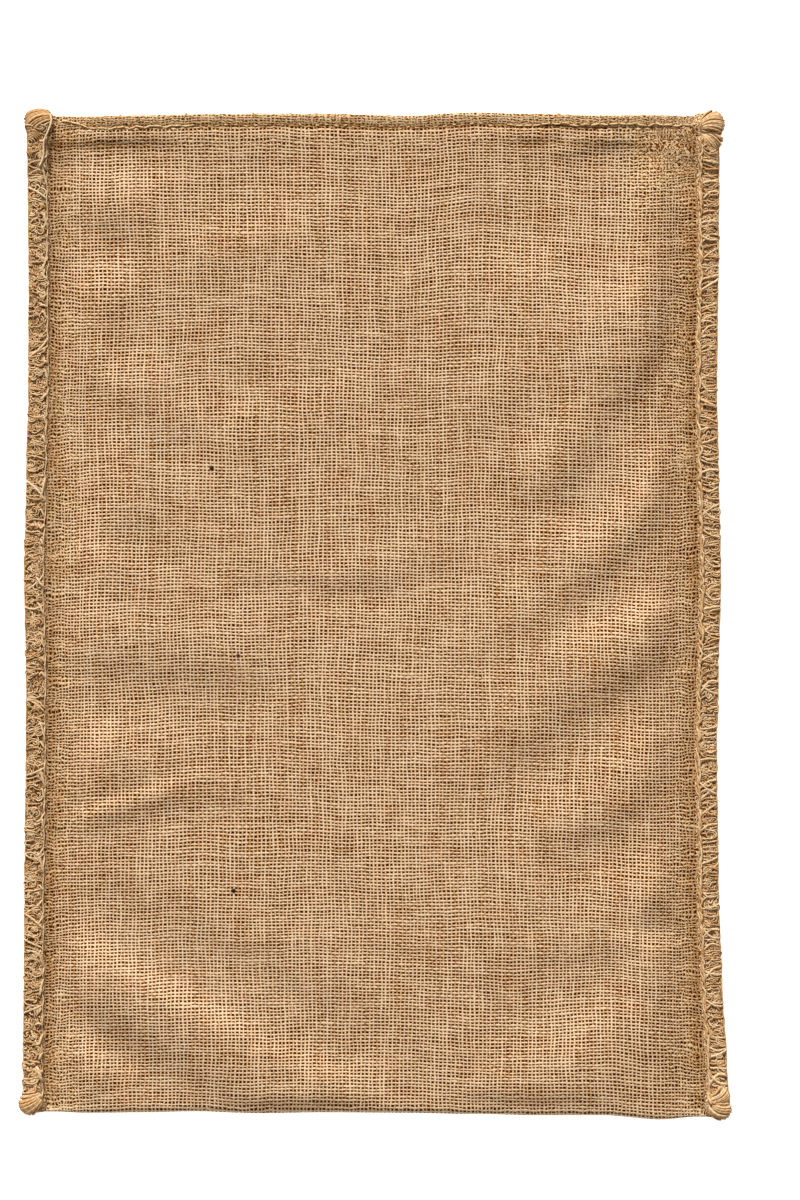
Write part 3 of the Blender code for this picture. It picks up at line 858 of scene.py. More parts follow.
@dataclass(frozen=True)
class Drape:
    """Heights of the cloth's middle surface: the flat back, and the front with its folds and hem.

    A drop is a distance down from the mouth's edge, and a rise is the distance in which the cloth
    leaves a seam's hold. Pairs of shares are a least share, and what is added to it.
    """

    outline: Outline = field(default_factory=Outline)
    thickness: float = 0.0015
    layer_gap: float = 0.0004
    seam_width: float = 0.0245
    seam_wall: float = 0.0022
    clearance: float = 0.0003
    cloth_inset: float = 0.0045
    hem_depth: float = 0.025
    hem_edge_start: float = 0.0015
    hem_edge_length: float = 0.0060
    stitch_drop: float = 0.0125
    roll_gap: float = 0.0016
    roll_start: float = 0.0026
    groove: float = 0.001375
    groove_half_width: float = 0.0023
    scallop_pitch: float = 0.0088
    scallop_shares: Pair = (0.72, 0.28)
    puff_height: float = 0.0104
    puff_shares: Pair = (0.66, 0.34)
    puff_foot: float = 0.10
    puff_rise: float = 0.052
    mouth_sink: float = 0.0012
    mouth_sink_length: float = 0.12
    back_drop: float = 0.036
    seam_flat: float = 0.004
    free_lift: float = 0.4
    calm_foot: float = 0.020
    calm_mouth: float = 0.045
    deepest: float = -0.0045
    highest: float = 0.0075
    lift_full: float = 0.028
    lift_none: float = 0.053
    gather_height: float = 0.00062
    crumple_height: float = 0.00020
    crumple: Layers = ((0.6, 0.034, 13), (0.4, 0.016, 14))
    pucker_start: float = 0.006

    @property
    def half(self) -> float:
        """Half the cloth's thickness."""
        return self.thickness / 2

    @property
    def pitch(self) -> float:
        """Distance between the middles of two layers that lie together."""
        return self.thickness + self.layer_gap

    @property
    def back_held(self) -> float:
        """Z of the back's middle surface inside the seams."""
        return self.seam_wall + self.clearance + self.half

    @property
    def front_held(self) -> float:
        """Z of the front's middle surface inside the seams."""
        return self.back_held + self.pitch

    def cloth_x(self, share: Array, y: Value) -> Array:
        """X of a column: share runs from 0 at the cloth's left edge to 1 at its right."""
        left, right = (side.value * (self.outline.reach(y, side) - self.cloth_inset) for side in Side)
        return left + (right - left) * share

    def inside_seam(self, x: Array, y: Array) -> Array:
        """Distance from the nearer seam's inner edge towards the middle."""
        reach = np.where(x < 0, self.outline.reach(y, Side.LEFT), self.outline.reach(y, Side.RIGHT))
        return reach - self.seam_width - np.abs(x)

    def freedom(self, x: Array, y: Array, rise: float) -> Array:
        """0 under and beside the seams, rising to 1 where the cloth no longer feels their hold."""
        return ease((self.inside_seam(x, y) - self.seam_flat) / rise)

    def hem_lift(self, drop: Array) -> Array:
        """How much the hem's two extra layers raise the front under the seams."""
        return 2 * self.pitch * np.clip((self.lift_none - drop) / (self.lift_none - self.lift_full), 0, 1)

    def roll_opening(self, drop: Value) -> Array:
        """How far the front hem's two layers part between the mouth's edge and the stitch."""
        return (self.roll_gap - self.layer_gap) * fade(drop, self.roll_start, self.stitch_drop - self.roll_start)

    def folds(self, x: Array, y: Array) -> Array:
        """Add up the main folds, and keep them within the deepest trough and the highest ridge.

        Args:
            x: Places across.
            y: Places along.

        Returns:
            Their height at each place.
        """
        total = sum(fold.effect(x, y) for fold in MAIN_FOLDS)
        limit = np.where(total < 0, self.deepest, self.highest)
        return limit * np.tanh(total / limit)

    def puckers(self, x: Array, y: Array) -> Array:
        """Small uneven heights: gathers pulled by the seams' stitches, and a soft crumple everywhere.

        Args:
            x: Places across.
            y: Places along.

        Returns:
            Their height at each place.
        """
        inside = self.inside_seam(x, y)
        beside = ease((inside + 0.002) / 0.006) * fade(inside, 0.006, 0.030)
        gathers = patchy(x * 0.55, y, 0.0085, 11) + 0.6 * patchy(x, y, 0.0050, 12)
        crumple = layered(x, y, self.crumple) * ease(inside / 0.02)
        return self.gather_height * beside * gathers + self.crumple_height * crumple

    def front(self, x: Array, y: Array) -> Array:
        """Find the front's height.

        Args:
            x: Places across.
            y: Places along.

        Returns:
            Z of its middle surface at each place.
        """
        outline = self.outline
        drop = outline.mouth(x) - y
        lift = self.hem_lift(drop)
        from_bottom = y + outline.half_length
        puff = self.puff_height * (self.puff_shares[0] + self.puff_shares[1] * ease(from_bottom / self.puff_foot))
        puff = puff - self.mouth_sink * fade(outline.half_length - y, 0.0, self.mouth_sink_length)
        held = self.front_held + lift
        free = self.front_held + puff + self.free_lift * lift
        calm = ease(from_bottom / self.calm_foot) * ease(drop / self.calm_mouth)
        step = eased_table(x, HEM_ENDS, 1) * fade(drop, self.hem_depth - self.hem_edge_start, self.hem_edge_length)
        phase = TAU * x / self.scallop_pitch + 1.7 * patchy(x, y * 0, 0.03, 15)
        scallops = self.scallop_shares[0] + self.scallop_shares[1] * np.cos(phase)
        groove = self.groove * scallops * bell(drop - self.stitch_drop, self.groove_half_width)
        relief = self.folds(x, y) * calm + step - groove + self.roll_opening(drop)
        creases = sum(crease.effect(x, y) for crease in CREASES) * calm
        fine = creases + self.puckers(x, y) * ease(drop / self.pucker_start)
        return held + self.freedom(x, y, self.puff_rise) * (free + relief - held) + fine

    def back(self, x: Array, y: Array) -> Array:
        """Z of the back's middle surface: flat on the floor, and raised into the seams."""
        return self.back_held + (self.half - self.back_held) * self.freedom(x, y, self.back_drop)


def half_turn(centre_y: Array, centre_z: Array, radius: Array, steps: int, first: float) -> Rows:
    """Rows inside a half circle in the Y-Z plane.

    Args:
        centre_y: The circle's centre in each column.
        centre_z: The circle's centre height in each column.
        radius: The circle's radius in each column.
        steps: How many parts the half circle has.
        first: The angle at which it starts, 0 at its top.

    Returns:
        Rows of Y and Z, without the half circle's two ends.
    """
    rows = []
    for step in range(1, steps):
        angle = first + math.pi * step / steps
        rows.append((centre_y + radius * math.sin(angle), centre_z + radius * math.cos(angle)))
    return rows


@dataclass(frozen=True)
class WearAndPaintedShading:
    """The sewing's marks on the cloth, yarns drawn out of true and tangled, with painted shading: shade, partly dirt,
    beside the seams, shade in the hem's groove and below its edge, light along the bottom fold.

    Pairs of pulls are what there is everywhere, and what the patches of a random field add to it.
    Strays are how far the weave lies from true across the strip and along it, each in rows of
    (distance, cell, seed).
    """

    drape: Drape
    gather: float = 0.0070
    hem_stretch: float = 0.35
    strays: tuple[Layers, ...] = (
        ((0.0022, 0.110, 21), (0.0009, 0.030, 22)),
        ((0.0030, 0.130, 23), (0.0010, 0.034, 24)),
    )
    rolled_strays: tuple[Layers, ...] = (
        ((0.0018, 0.011, 31), (0.0010, 0.005, 32)),
        ((0.0013, 0.008, 33),),
    )
    seam_strays: tuple[Layers, ...] = (
        ((0.0016, 0.013, 25), (0.0008, 0.006, 26)),
        ((0.0026, 0.015, 27), (0.0010, 0.007, 28)),
    )
    seam_pull: Pair = (0.36, 0.34)
    hem_pull: Pair = (0.56, 0.24)
    hem_edge_pull: float = 0.40
    left_corner_pull: Pair = (0.40, 0.55)
    right_corner_pull: Pair = (0.78, 0.34)
    foot_pull: float = 0.3
    most_pull: float = 1.2
    # Painted shade, partly dirt, beside the seams; painted shade on the right side, below the hem's edge and in its
    # stitch groove; painted light along the bottom fold and in the mouth's right corner.
    seam_shade: float = 0.15
    wide_seam_shade: float = 0.08
    hem_seam_share: Pair = (0.35, 0.65)
    right_shade: float = 0.02
    hem_edge_shade: float = 90
    stitch_shades: Triple = (0.10, 0.14, 0.16)
    foot_shade: float = -0.60
    corner_shade: float = -0.05
    most_shade: float = 0.6

    def weave_places(self, x: Array, y: Array, along: Array) -> tuple[Array, Array]:
        """Where each point lies in the weave, pulled out of true by the seams and the folds.

        Args:
            x: The points' X.
            y: The points' Y.
            along: Distance along the strip, measured so that it equals Y on the front.

        Returns:
            The weave's two coordinates, in metres.
        """
        inside = self.drape.inside_seam(x, y)
        into_hem = np.clip(self.drape.stitch_drop - (self.drape.outline.mouth(x) - y), 0, None)
        gathered = np.sign(x) * self.gather * fade(inside, 0.0, 0.045)
        shares = (1.0, ease(into_hem / 0.003), fade(inside, 0.002, 0.030))
        places = [x + gathered, along + self.hem_stretch * into_hem]
        for share, pair in zip(shares, (self.strays, self.rolled_strays, self.seam_strays)):
            places = [place + share * layered(x, along, rows) for place, rows in zip(places, pair)]
        return places[0], places[1]

    def right_corner(self, inside: Array, drop: Array) -> Array:
        """How far a place is in the mouth's right corner, where the weave is a tangle."""
        return fade(drop, 0.030, 0.110) * fade(inside, 0.018, 0.100)

    def pulled(self, x: Array, y: Array) -> Array:
        """How much the sewing has pulled the yarns out of true.

        Args:
            x: Places across.
            y: Places along.

        Returns:
            0 where the weave is true, and about 1 beside the seams and in the hem's corners.
        """
        drape = self.drape
        inside = drape.inside_seam(x, y)
        drop = drape.outline.mouth(x) - y
        patches = 0.5 + 0.5 * patchy(x * 0.6, y, 0.022, 29)
        beside = (self.seam_pull[0] + self.seam_pull[1] * patches) * fade(inside, 0.004, 0.014 + 0.044 * patches)
        hem = (self.hem_pull[0] + self.hem_pull[1] * patches) * fade(drop, 0.010, 0.010)
        hem = hem + self.hem_edge_pull * bell(drop - drape.hem_depth - 0.002, 0.005)
        left = self.left_corner_pull[0] + self.left_corner_pull[1] * patches
        left = left * fade(drop, 0.010, 0.060) * fade(inside, 0.006, 0.060)
        right = self.right_corner_pull[0] + self.right_corner_pull[1] * patches
        corner = np.where(x < 0, left, right * self.right_corner(inside, drop))
        foot = self.foot_pull * fade(y - drape.outline.bottom(x), 0.002, 0.010)
        return np.clip(np.maximum.reduce([beside, corner, hem, foot]), 0, self.most_pull)

    def painted_shading_and_dirt(self, x: Array, y: Array) -> Array:
        """Painted shade and light on the jute: shade, partly dirt, beside the seams, shade towards the right side,
        below the hem's turned-in edge and in its stitch groove, and light along the bottom fold and in the mouth's
        right corner.

        Args:
            x: Places across.
            y: Places along.

        Returns:
            How much painted shade each place has or, below 0, how much painted light.
        """
        drape = self.drape
        inside = drape.inside_seam(x, y)
        drop = drape.outline.mouth(x) - y
        patches = 0.5 + 0.5 * patchy(x, y * 0.3, 0.045, 30)
        middle = ease((inside - 0.05) / 0.10)
        # Painted shade, partly dirt, in the trough beside each seam, less between the hem's stitch and the mouth.
        seam = self.seam_shade * fade(inside, -0.002, 0.018) + self.wide_seam_shade * fade(inside, 0.0, 0.060)
        seam = seam * (self.hem_seam_share[0] + self.hem_seam_share[1] * ease((drop - drape.stitch_drop) / 0.008))
        # Painted shade, darker towards the right side.
        right = self.right_shade * ease((x - 0.20) / 0.08)
        # Painted shadow below the turned-in hem's edge.
        hem_edge = self.hem_edge_shade * eased_table(x, HEM_ENDS, 1) * bell(drop - drape.hem_depth - 0.004, 0.0046)
        # Painted shade in the hem's stitch groove, stronger and patchier away from the seams.
        anywhere, in_middle, in_patches = self.stitch_shades
        stitch = anywhere + middle * (in_middle + in_patches * patches)
        stitch = stitch * bell(drop - drape.stitch_drop - 0.0006, 0.0026)
        # Painted light along the bottom fold, which turns away from the key light.
        foot = self.foot_shade * fade(y - drape.outline.bottom(x), 0.001, 0.007)
        # Painted light in the mouth's right corner, easing the seam's painted shade there.
        corner = self.corner_shade * ease(x / 0.05) * self.right_corner(inside, drop)
        return np.clip(seam + right + hem_edge + stitch + foot + corner, -self.most_shade, self.most_shade)


@dataclass(frozen=True)
class Turns:
    """Where the cloth turns in each column: the mouth's edge, and each turn's centre and radius."""

    edge: Array
    foot_y: Array
    foot_radius: Array
    front_y: Array
    front_radius: Array
    back_y: Array


@dataclass
class SackCloth:
    """The hessian strip, as its front with the bottom fold, and its back, each with its hem turned in.

    Turn steps are the parts of a turn's half circle. The bake map's front strip is for the side that
    shows and its back strip for the side inside the sheet, each from its start and with its height.
    """

    drape: Drape
    material: bpy.types.Material
    columns: int = 166
    front_step: float = 0.0041
    back_columns: int = 84
    back_step: float = 0.0120
    sheet_thickness: float = 0.0012
    tuck: float = 0.012
    foot_reach: float = 0.006
    foot_steps: int = 10
    front_turn_steps: int = 8
    back_turn_steps: int = 6
    panel_drop: float = 0.0265
    hem_drops: tuple[float, ...] = (
        *(0.0042, 0.0058, 0.0074, 0.0089, 0.0102, 0.0113),
        *(0.0125, 0.0137, 0.0152, 0.0175, 0.0205, 0.0250),
    )
    back_weave_start: float = -1.3
    bake_margin: float = 0.001
    shown_strip: Pair = (0.068, 0.93)
    hidden_strip: Pair = (0.002, 0.058)

    def front_z(self, shares: Array, y: Array) -> Array:
        """Z of the front's middle surface in each column."""
        return self.drape.front(self.drape.cloth_x(shares, y), y)

    def back_z(self, shares: Array, y: Array) -> Array:
        """Z of the back's middle surface in each column."""
        return self.drape.back(self.drape.cloth_x(shares, y), y)

    def hem_pitch(self, shares: Array, edge: Array, drop: float) -> Array:
        """Distance between the middles of the front hem's two layers, at a drop below the mouth's edge."""
        freed = self.drape.freedom(self.drape.cloth_x(shares, edge - drop), edge - drop, self.drape.puff_rise)
        return self.drape.pitch + self.drape.roll_opening(drop) * freed

    def turns(self, shares: Array) -> Turns:
        """Work out where each column's hem and bottom fold turn.

        Args:
            shares: The columns' places across the cloth.

        Returns:
            The turns.
        """
        drape = self.drape
        edge = drape.outline.mouth(drape.cloth_x(shares, drape.outline.half_length))
        foot = drape.outline.bottom(drape.cloth_x(shares, -drape.outline.half_length))
        foot_radius = (self.front_z(shares, foot + self.foot_reach) - self.back_z(shares, foot)) / 2
        front_radius = self.hem_pitch(shares, edge, 0.0) / 2
        return Turns(
            edge=edge,
            foot_y=foot + drape.half + foot_radius,
            foot_radius=foot_radius,
            front_y=edge - front_radius - drape.half,
            front_radius=front_radius,
            back_y=edge - drape.pitch / 2 - drape.half,
        )

    def front_rows(self, shares: Array) -> Rows:
        """Lay the front: from under the bottom fold, up the front and over the mouth, to the hem's edge.

        Args:
            shares: The columns' places across the cloth.

        Returns:
            Rows of Y and Z.
        """
        at = self.turns(shares)
        under = self.back_z(shares, at.foot_y)
        rows = [(at.foot_y + self.tuck * share, under) for share in (1.0, 0.5, 0.0)]
        rows += half_turn(at.foot_y, under + at.foot_radius, at.foot_radius, self.foot_steps, math.pi)
        top = at.edge - self.panel_drop
        panel = np.linspace(0, 1, round(2 * self.drape.outline.half_length / self.front_step))
        lines = [at.foot_y + (top - at.foot_y) * share for share in panel]
        lines += [at.edge - drop for drop in self.hem_drops[::-1]]
        rows += [(y, self.front_z(shares, y)) for y in (*lines, at.front_y)]
        height, radius = rows[-1][1], at.front_radius
        rows += half_turn(at.front_y, height - radius, radius, self.front_turn_steps, 0.0)
        rows.append((at.front_y, height - 2 * radius))
        for drop in self.hem_drops[::2]:
            y = at.edge - drop
            rows.append((y, self.front_z(shares, y) - self.hem_pitch(shares, at.edge, drop)))
        return rows

    def back_rows(self, shares: Array) -> Rows:
        """Lay the back: from its hem's edge, round the mouth and down the back to the bottom.

        Args:
            shares: The columns' places across the cloth.

        Returns:
            Rows of Y and Z.
        """
        at = self.turns(shares)
        pitch = self.drape.pitch
        lines = [at.edge - drop for drop in self.hem_drops[::-2]] + [at.back_y]
        rows = [(y, self.back_z(shares, y) + pitch) for y in lines]
        radius = np.full(shares.shape, pitch / 2)
        rows += half_turn(at.back_y, self.back_z(shares, at.back_y) + radius, radius, self.back_turn_steps, 0.0)
        for share in np.linspace(0, 1, round(2 * self.drape.outline.half_length / self.back_step)):
            y = at.back_y + (at.foot_y + self.tuck - at.back_y) * share
            rows.append((y, self.back_z(shares, y)))
        return rows

    def panel(self, name: str, shares: Array, rows: Rows) -> Piece:
        """Make one panel from its rows, thicken it, and give it its maps and material.

        Args:
            name: The piece's name.
            shares: The columns' places across the cloth.
            rows: Y and Z of each row in each column.

        Returns:
            The finished piece.
        """
        y, z = (np.array(part) for part in zip(*rows))
        x = self.drape.cloth_x(shares[None, :], y)
        faces = cell_corners(np.arange(y.size).reshape(y.shape)).reshape(-1, 4)
        mesh = new_mesh(name, np.stack([x, y, z], axis=-1), faces.tolist())
        steps = np.hypot(np.diff(y, axis=0), np.diff(z, axis=0)).mean(axis=1)
        run = np.concatenate([[0.0], np.cumsum(steps)])
        anchor = int(np.argmin(np.abs(y[:, 0])))
        along = run - run[anchor] + y[anchor].mean()
        if y[0, 0] > y[-1, 0]:
            along = self.back_weave_start - along
        wear_and_shading = WearAndPaintedShading(self.drape)
        u, v = wear_and_shading.weave_places(x, y, np.broadcast_to(along[:, None], y.shape))
        add_map(mesh, WEAVE_MAP, u.ravel()[faces.ravel()], v.ravel()[faces.ravel()])
        start, height = self.shown_strip
        bake_u = shares * (1 - 2 * self.bake_margin) + self.bake_margin
        bake_v = run / run[-1] * height + start
        bake_u, bake_v = np.meshgrid(bake_u, bake_v)
        add_map(mesh, BAKE_MAP, bake_u.ravel()[faces.ravel()], bake_v.ravel()[faces.ravel()])
        set_attribute(mesh, PULL, wear_and_shading.pulled(x, y))
        # Painted shade and light, partly dirt beside the seams, for the hessian to read.
        set_attribute(mesh, SHADE, wear_and_shading.painted_shading_and_dirt(x, y))
        piece = new_piece(mesh, self.material)
        apply_modifier(piece, "SOLIDIFY", thickness=self.sheet_thickness, offset=0.0, use_rim=True)
        self.fold_away_inner_side(piece.data, len(faces))
        piece.data.shade_smooth()
        return piece

    def fold_away_inner_side(self, mesh: bpy.types.Mesh, outer_faces: int) -> None:
        """Give the sheet's hidden side a narrow strip of its own on the bake map.

        Args:
            mesh: The thickened sheet.
            outer_faces: How many of its faces, the first ones, are on the side that shows.
        """
        layer = mesh.uv_layers[BAKE_MAP]
        places = np.empty(len(layer.uv) * 2, np.float32)
        layer.uv.foreach_get("vector", places)
        places = places.reshape(-1, 2)
        first_inner = mesh.polygons[outer_faces].loop_start
        (shown, shown_height), (hidden, hidden_height) = self.shown_strip, self.hidden_strip
        places[first_inner:, 1] = (places[first_inner:, 1] - shown) / shown_height * hidden_height + hidden
        layer.uv.foreach_set("vector", places.ravel())

    def build(self) -> list[Piece]:
        """Returns:
            The front and the back.
        """
        front_shares = np.linspace(0, 1, self.columns)
        back_shares = np.linspace(0, 1, self.back_columns)
        front = self.panel("cloth_front", front_shares, self.front_rows(front_shares))
        back = self.panel("cloth_back", back_shares, self.back_rows(back_shares))
        for piece in (front, back):
            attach(piece, BODY)
            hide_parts("sack_cloth")
        return [front, back]


# ---- Making pieces ----


def cell_corners(grid: Array) -> Array:
    """The values at the four corners of each cell of a grid, in the order of a face's corners."""
    return np.stack([grid[:-1, :-1], grid[:-1, 1:], grid[1:, 1:], grid[1:, :-1]], axis=2)


def ring_index(rings: int, sides: int, first: int = 0) -> Array:
    """Numbers of the points of a tube's rings, each ring closed by its own first point."""
    index = np.arange(rings * sides).reshape(rings, sides) + first
    return np.column_stack([index, index[:, 0]])


def new_mesh(name: str, points: Array, faces: list[list[int]]) -> bpy.types.Mesh:
    """Make a mesh.

    Args:
        name: Its name, which its piece takes too.
        points: Its points, in any grid.
        faces: Each face's points, by number.

    Returns:
        The mesh.
    """
    mesh = bpy.data.meshes.new(name)
    mesh.from_pydata(points.reshape(-1, 3).tolist(), [], faces)
    return mesh


def new_piece(mesh: bpy.types.Mesh, material: bpy.types.Material) -> Piece:
    """Put a mesh in the scene.

    Args:
        mesh: The mesh.
        material: Its material.

    Returns:
        The piece, at the origin.
    """
    mesh.materials.append(material)
    piece = bpy.data.objects.new(mesh.name, mesh)
    bpy.context.scene.collection.objects.link(piece)
    return piece


def add_map(mesh: bpy.types.Mesh, name: str, u: Array, v: Array) -> None:
    """Give a mesh a UV map, from U and V at each corner of its faces."""
    mesh.uv_layers.new(name=name).uv.foreach_set("vector", np.stack([u, v], axis=-1).ravel())


def set_attribute(mesh: bpy.types.Mesh, name: str, values: Array) -> None:
    """Give each of a mesh's points a value under a name that its material reads."""
    mesh.attributes.new(name, "FLOAT", "POINT").data.foreach_set("value", np.asarray(values, float).ravel())


def deselect_all() -> None:
    """Leave nothing selected."""
    for thing in bpy.context.view_layer.objects:
        thing.select_set(False)


def apply_modifier(piece: Piece, kind: str, **settings: object) -> None:
    """Add a modifier with its settings and apply it.

    Args:
        piece: The object to change.
        kind: The modifier's type.
        **settings: The modifier's own properties.
    """
    deselect_all()
    piece.select_set(True)
    bpy.context.view_layer.objects.active = piece
    modifier = piece.modifiers.new(kind.title(), kind)
    for key, value in settings.items():
        setattr(modifier, key, value)
    bpy.ops.object.modifier_apply(modifier=modifier.name)


@dataclass
class YarnMesh:
    """Many yarn strands gathered into one mesh, each a closed tube with its own tone.

    Each strand has a tile of its own on the bake map, inside a margin.
    """

    sides: int = 6
    least_height: float = 0.0002
    tiles_per_row: int = 3
    tile_margin: Pair = (0.06, 0.02)
    points: list[Array] = field(default_factory=list)
    faces: list[Array] = field(default_factory=list)
    caps: list[list[int]] = field(default_factory=list)
    maps: list[Array] = field(default_factory=list)
    cap_maps: list[Array] = field(default_factory=list)
    tones: list[Array] = field(default_factory=list)
    total: int = 0

    def rings(self, line: Array, radius: Value, flatten: float) -> Array:
        """Lay rings of points round a line, without twist.

        Args:
            line: Points along the strand's middle.
            radius: The strand's radius, one value or one for each point.
            flatten: The strand's height as a share of its width.

        Returns:
            A grid of points, a row for each ring.
        """
        radius = np.broadcast_to(np.asarray(radius, float), (len(line),))
        tangent = np.gradient(line, axis=0)
        tangent /= np.linalg.norm(tangent, axis=1)[:, None] + 1e-12
        up = np.array([0.0, 0.0, 1.0])
        start = up - tangent[0] * (up @ tangent[0])
        if np.linalg.norm(start) < 1e-3:
            start = np.array([1.0, 0.0, 0.0]) - tangent[0] * tangent[0][0]
        normal = start / np.linalg.norm(start)
        angle = np.arange(self.sides) / self.sides * TAU
        rings = np.empty((len(line), self.sides, 3))
        for step, (place, ahead) in enumerate(zip(line, tangent)):
            normal = normal - ahead * (normal @ ahead)
            normal /= np.linalg.norm(normal) + 1e-12
            side = np.cross(ahead, normal)
            ring = np.cos(angle)[:, None] * normal * flatten + np.sin(angle)[:, None] * side
            rings[step] = place + radius[step] * ring
        return rings

    def add(self, line: Array, radius: Value, tone: float, flatten: float = 1.0) -> None:
        """Add one strand.

        Args:
            line: Points along the strand's middle.
            radius: The strand's radius, one value or one for each point.
            tone: From 0, dark, to 1, light.
            flatten: The strand's height as a share of its width.
        """
        line = np.asarray(line, float)
        strand, ring = len(self.points), np.ones(self.sides)
        index = ring_index(len(line), self.sides, self.total)
        around = np.arange(self.sides + 1) / self.sides
        run = np.concatenate([[0.0], np.cumsum(np.linalg.norm(np.diff(line, axis=0), axis=1))])
        places = cell_corners(np.stack(np.meshgrid(around, run), axis=-1)).reshape(-1, 2)
        bake = places / (1.0, run[-1])
        self.maps.append(np.column_stack([places, bake, np.full(len(places), strand)]))
        for cap, v, share in ((index[0, -2::-1], 0.0, 0.0), (index[-1, :-1], run[-1], 1.0)):
            self.caps.append(cap.tolist())
            self.cap_maps.append(
                np.column_stack([around[:-1], ring * v, around[:-1], ring * share, ring * strand])
            )
        self.points.append(self.rings(line, radius, flatten).reshape(-1, 3))
        self.faces.append(cell_corners(index).reshape(-1, 4))
        self.tones.append(np.full(len(self.points[-1]), tone))
        self.total += len(self.points[-1])

    def build(self, name: str, material: bpy.types.Material) -> Piece:
        """Make the mesh object, kept above the floor.

        Args:
            name: The piece's name.
            material: Its material.

        Returns:
            The piece.
        """
        points = np.vstack(self.points)
        points[:, 2] = np.maximum(points[:, 2], self.least_height)
        mesh = new_mesh(name, points, np.vstack(self.faces).tolist() + self.caps)
        u, v, bake_u, bake_v, strand = np.vstack(self.maps + self.cap_maps).T
        add_map(mesh, YARN_MAP, u, v)
        across = math.ceil(math.sqrt(len(self.points) * self.tiles_per_row))
        down = math.ceil(len(self.points) / across)
        side, end = self.tile_margin
        bake_u = (strand % across + side + (1 - 2 * side) * bake_u) / across
        bake_v = (strand // across + end + (1 - 2 * end) * bake_v) / down
        add_map(mesh, BAKE_MAP, bake_u, bake_v)
        set_attribute(mesh, TONE, np.concatenate(self.tones))
        mesh.shade_smooth()
        return new_piece(mesh, material)


# ---- The side seams and their knots ----


@dataclass(frozen=True)
class Knot:
    """The lump in which a seam's yarn ends: how far it reaches, and how it swells the seam inward and up."""

    reach_x: float
    reach_y: float
    swell_in: float
    swell_up: float


KNOTS = {
    (Side.LEFT, End.MOUTH): Knot(0.3510, 0.5063, 0.0030, 0.0034),
    (Side.LEFT, End.BOTTOM): Knot(0.3554, 0.5012, 0.0000, 0.0018),
    (Side.RIGHT, End.MOUTH): Knot(0.3500, 0.5044, 0.0026, 0.0030),
    (Side.RIGHT, End.BOTTOM): Knot(0.3554, 0.5063, 0.0000, 0.0022),
}


@dataclass(frozen=True)
class SeamSkin:
    """The surface of one seam's cloth edge, on which its yarn lies.

    It is flat over its inner share, with a low crown and a dip at its inner edge, and round outside.
    """

    side: Side
    drape: Drape
    low: float = 0.0017
    over_cloth: float = 0.0014
    hem_lag: float = 0.009
    flat_share: float = 0.62
    crown: float = 0.0009
    dip: float = 0.0026
    dip_share: float = 0.34
    nose: float = 0.0075
    sink: float = 0.0012
    knot_backset: float = 0.0105
    knot_spread: float = 0.0085

    def swelling(self, y: Array, end: End) -> Array:
        """How much of an end knot's swelling the seam has."""
        centre = (self.drape.outline.half_length - self.knot_backset) * end.value
        return bell(y - centre, self.knot_spread)

    def span(self, y: Array) -> tuple[Array, Array, Array]:
        """Measure the seam across.

        Args:
            y: Places along the seam.

        Returns:
            Its outer reach, inner edge and top height at each place.
        """
        drape = self.drape
        reach = drape.outline.reach(y, self.side)
        inner = reach - drape.seam_width
        drop = drape.outline.mouth(self.side.value * drape.outline.half_width) - y
        top = drape.front_held + drape.half + drape.hem_lift(drop - self.hem_lag) + self.over_cloth
        for end in End:
            knot = KNOTS[self.side, end]
            share = self.swelling(y, end)
            reach = reach + (knot.reach_x - reach) * share
            inner = inner - knot.swell_in * share
            top = top + knot.swell_up * share
        return reach - self.sink, inner, top

    def point(self, across: Array, y: Array, lift: Value = 0.0) -> Array:
        """A place on the seam.

        Args:
            across: 0 at the inner edge on top, 1 at the outermost line, 2 at the inner edge below.
            y: Place along the seam.
            lift: Height above the surface.

        Returns:
            Points as rows.
        """
        across, y = np.broadcast_arrays(np.asarray(across, float), np.asarray(y, float))
        reach, inner, top = self.span(y)
        half = (top - self.low) / 2
        middle = self.low + half
        over = np.where(across <= 1, across, 2 - across)
        sign = np.where(across <= 1, 1.0, -1.0)
        flat = over < self.flat_share
        angle = np.clip((over - self.flat_share) / (1 - self.flat_share), 0, 1) * math.pi / 2
        run = np.clip(over / self.flat_share, 0, 1)
        crown = self.crown * np.sin(run * math.pi) - self.dip * fade(run, 0.0, self.dip_share)
        shoulder = reach - self.nose
        distance = np.where(flat, inner + (shoulder - inner) * run, shoulder + self.nose * np.sin(angle))
        height = half * np.cos(angle) + np.where(flat, crown, 0.0)
        normal_x = np.where(flat, 0.0, np.sin(angle))
        normal_z = np.where(flat, 1.0, np.cos(angle))
        outward = self.side.value * (distance + lift * normal_x)
        return np.stack([outward, y, middle + sign * (height + lift * normal_z)], axis=-1)


@dataclass(frozen=True)
class Sewing:
    """How one side's yarn lies, and how much painted shade the rolled edge under it has.

    sheaf_strands are the fewest strands of a sheaf, and one more than the most. The plait runs along
    the seam's inner edge.
    """

    bows_each: int
    sheaf_strands: tuple[int, int]
    long_chance: float
    plait_strands: int
    plait_girth: float
    plait_sway: float
    plait_inset: float
    plait_lift: float
    edge_shade: float


SEWING = {
    Side.LEFT: Sewing(7, (0, 3), 0.12, 1, 0.75, 0.030, 0.03, 0.5, 0.16),
    Side.RIGHT: Sewing(4, (2, 5), 1.0, 3, 1.15, 0.070, 0.0, 1.2, 0.04),
}


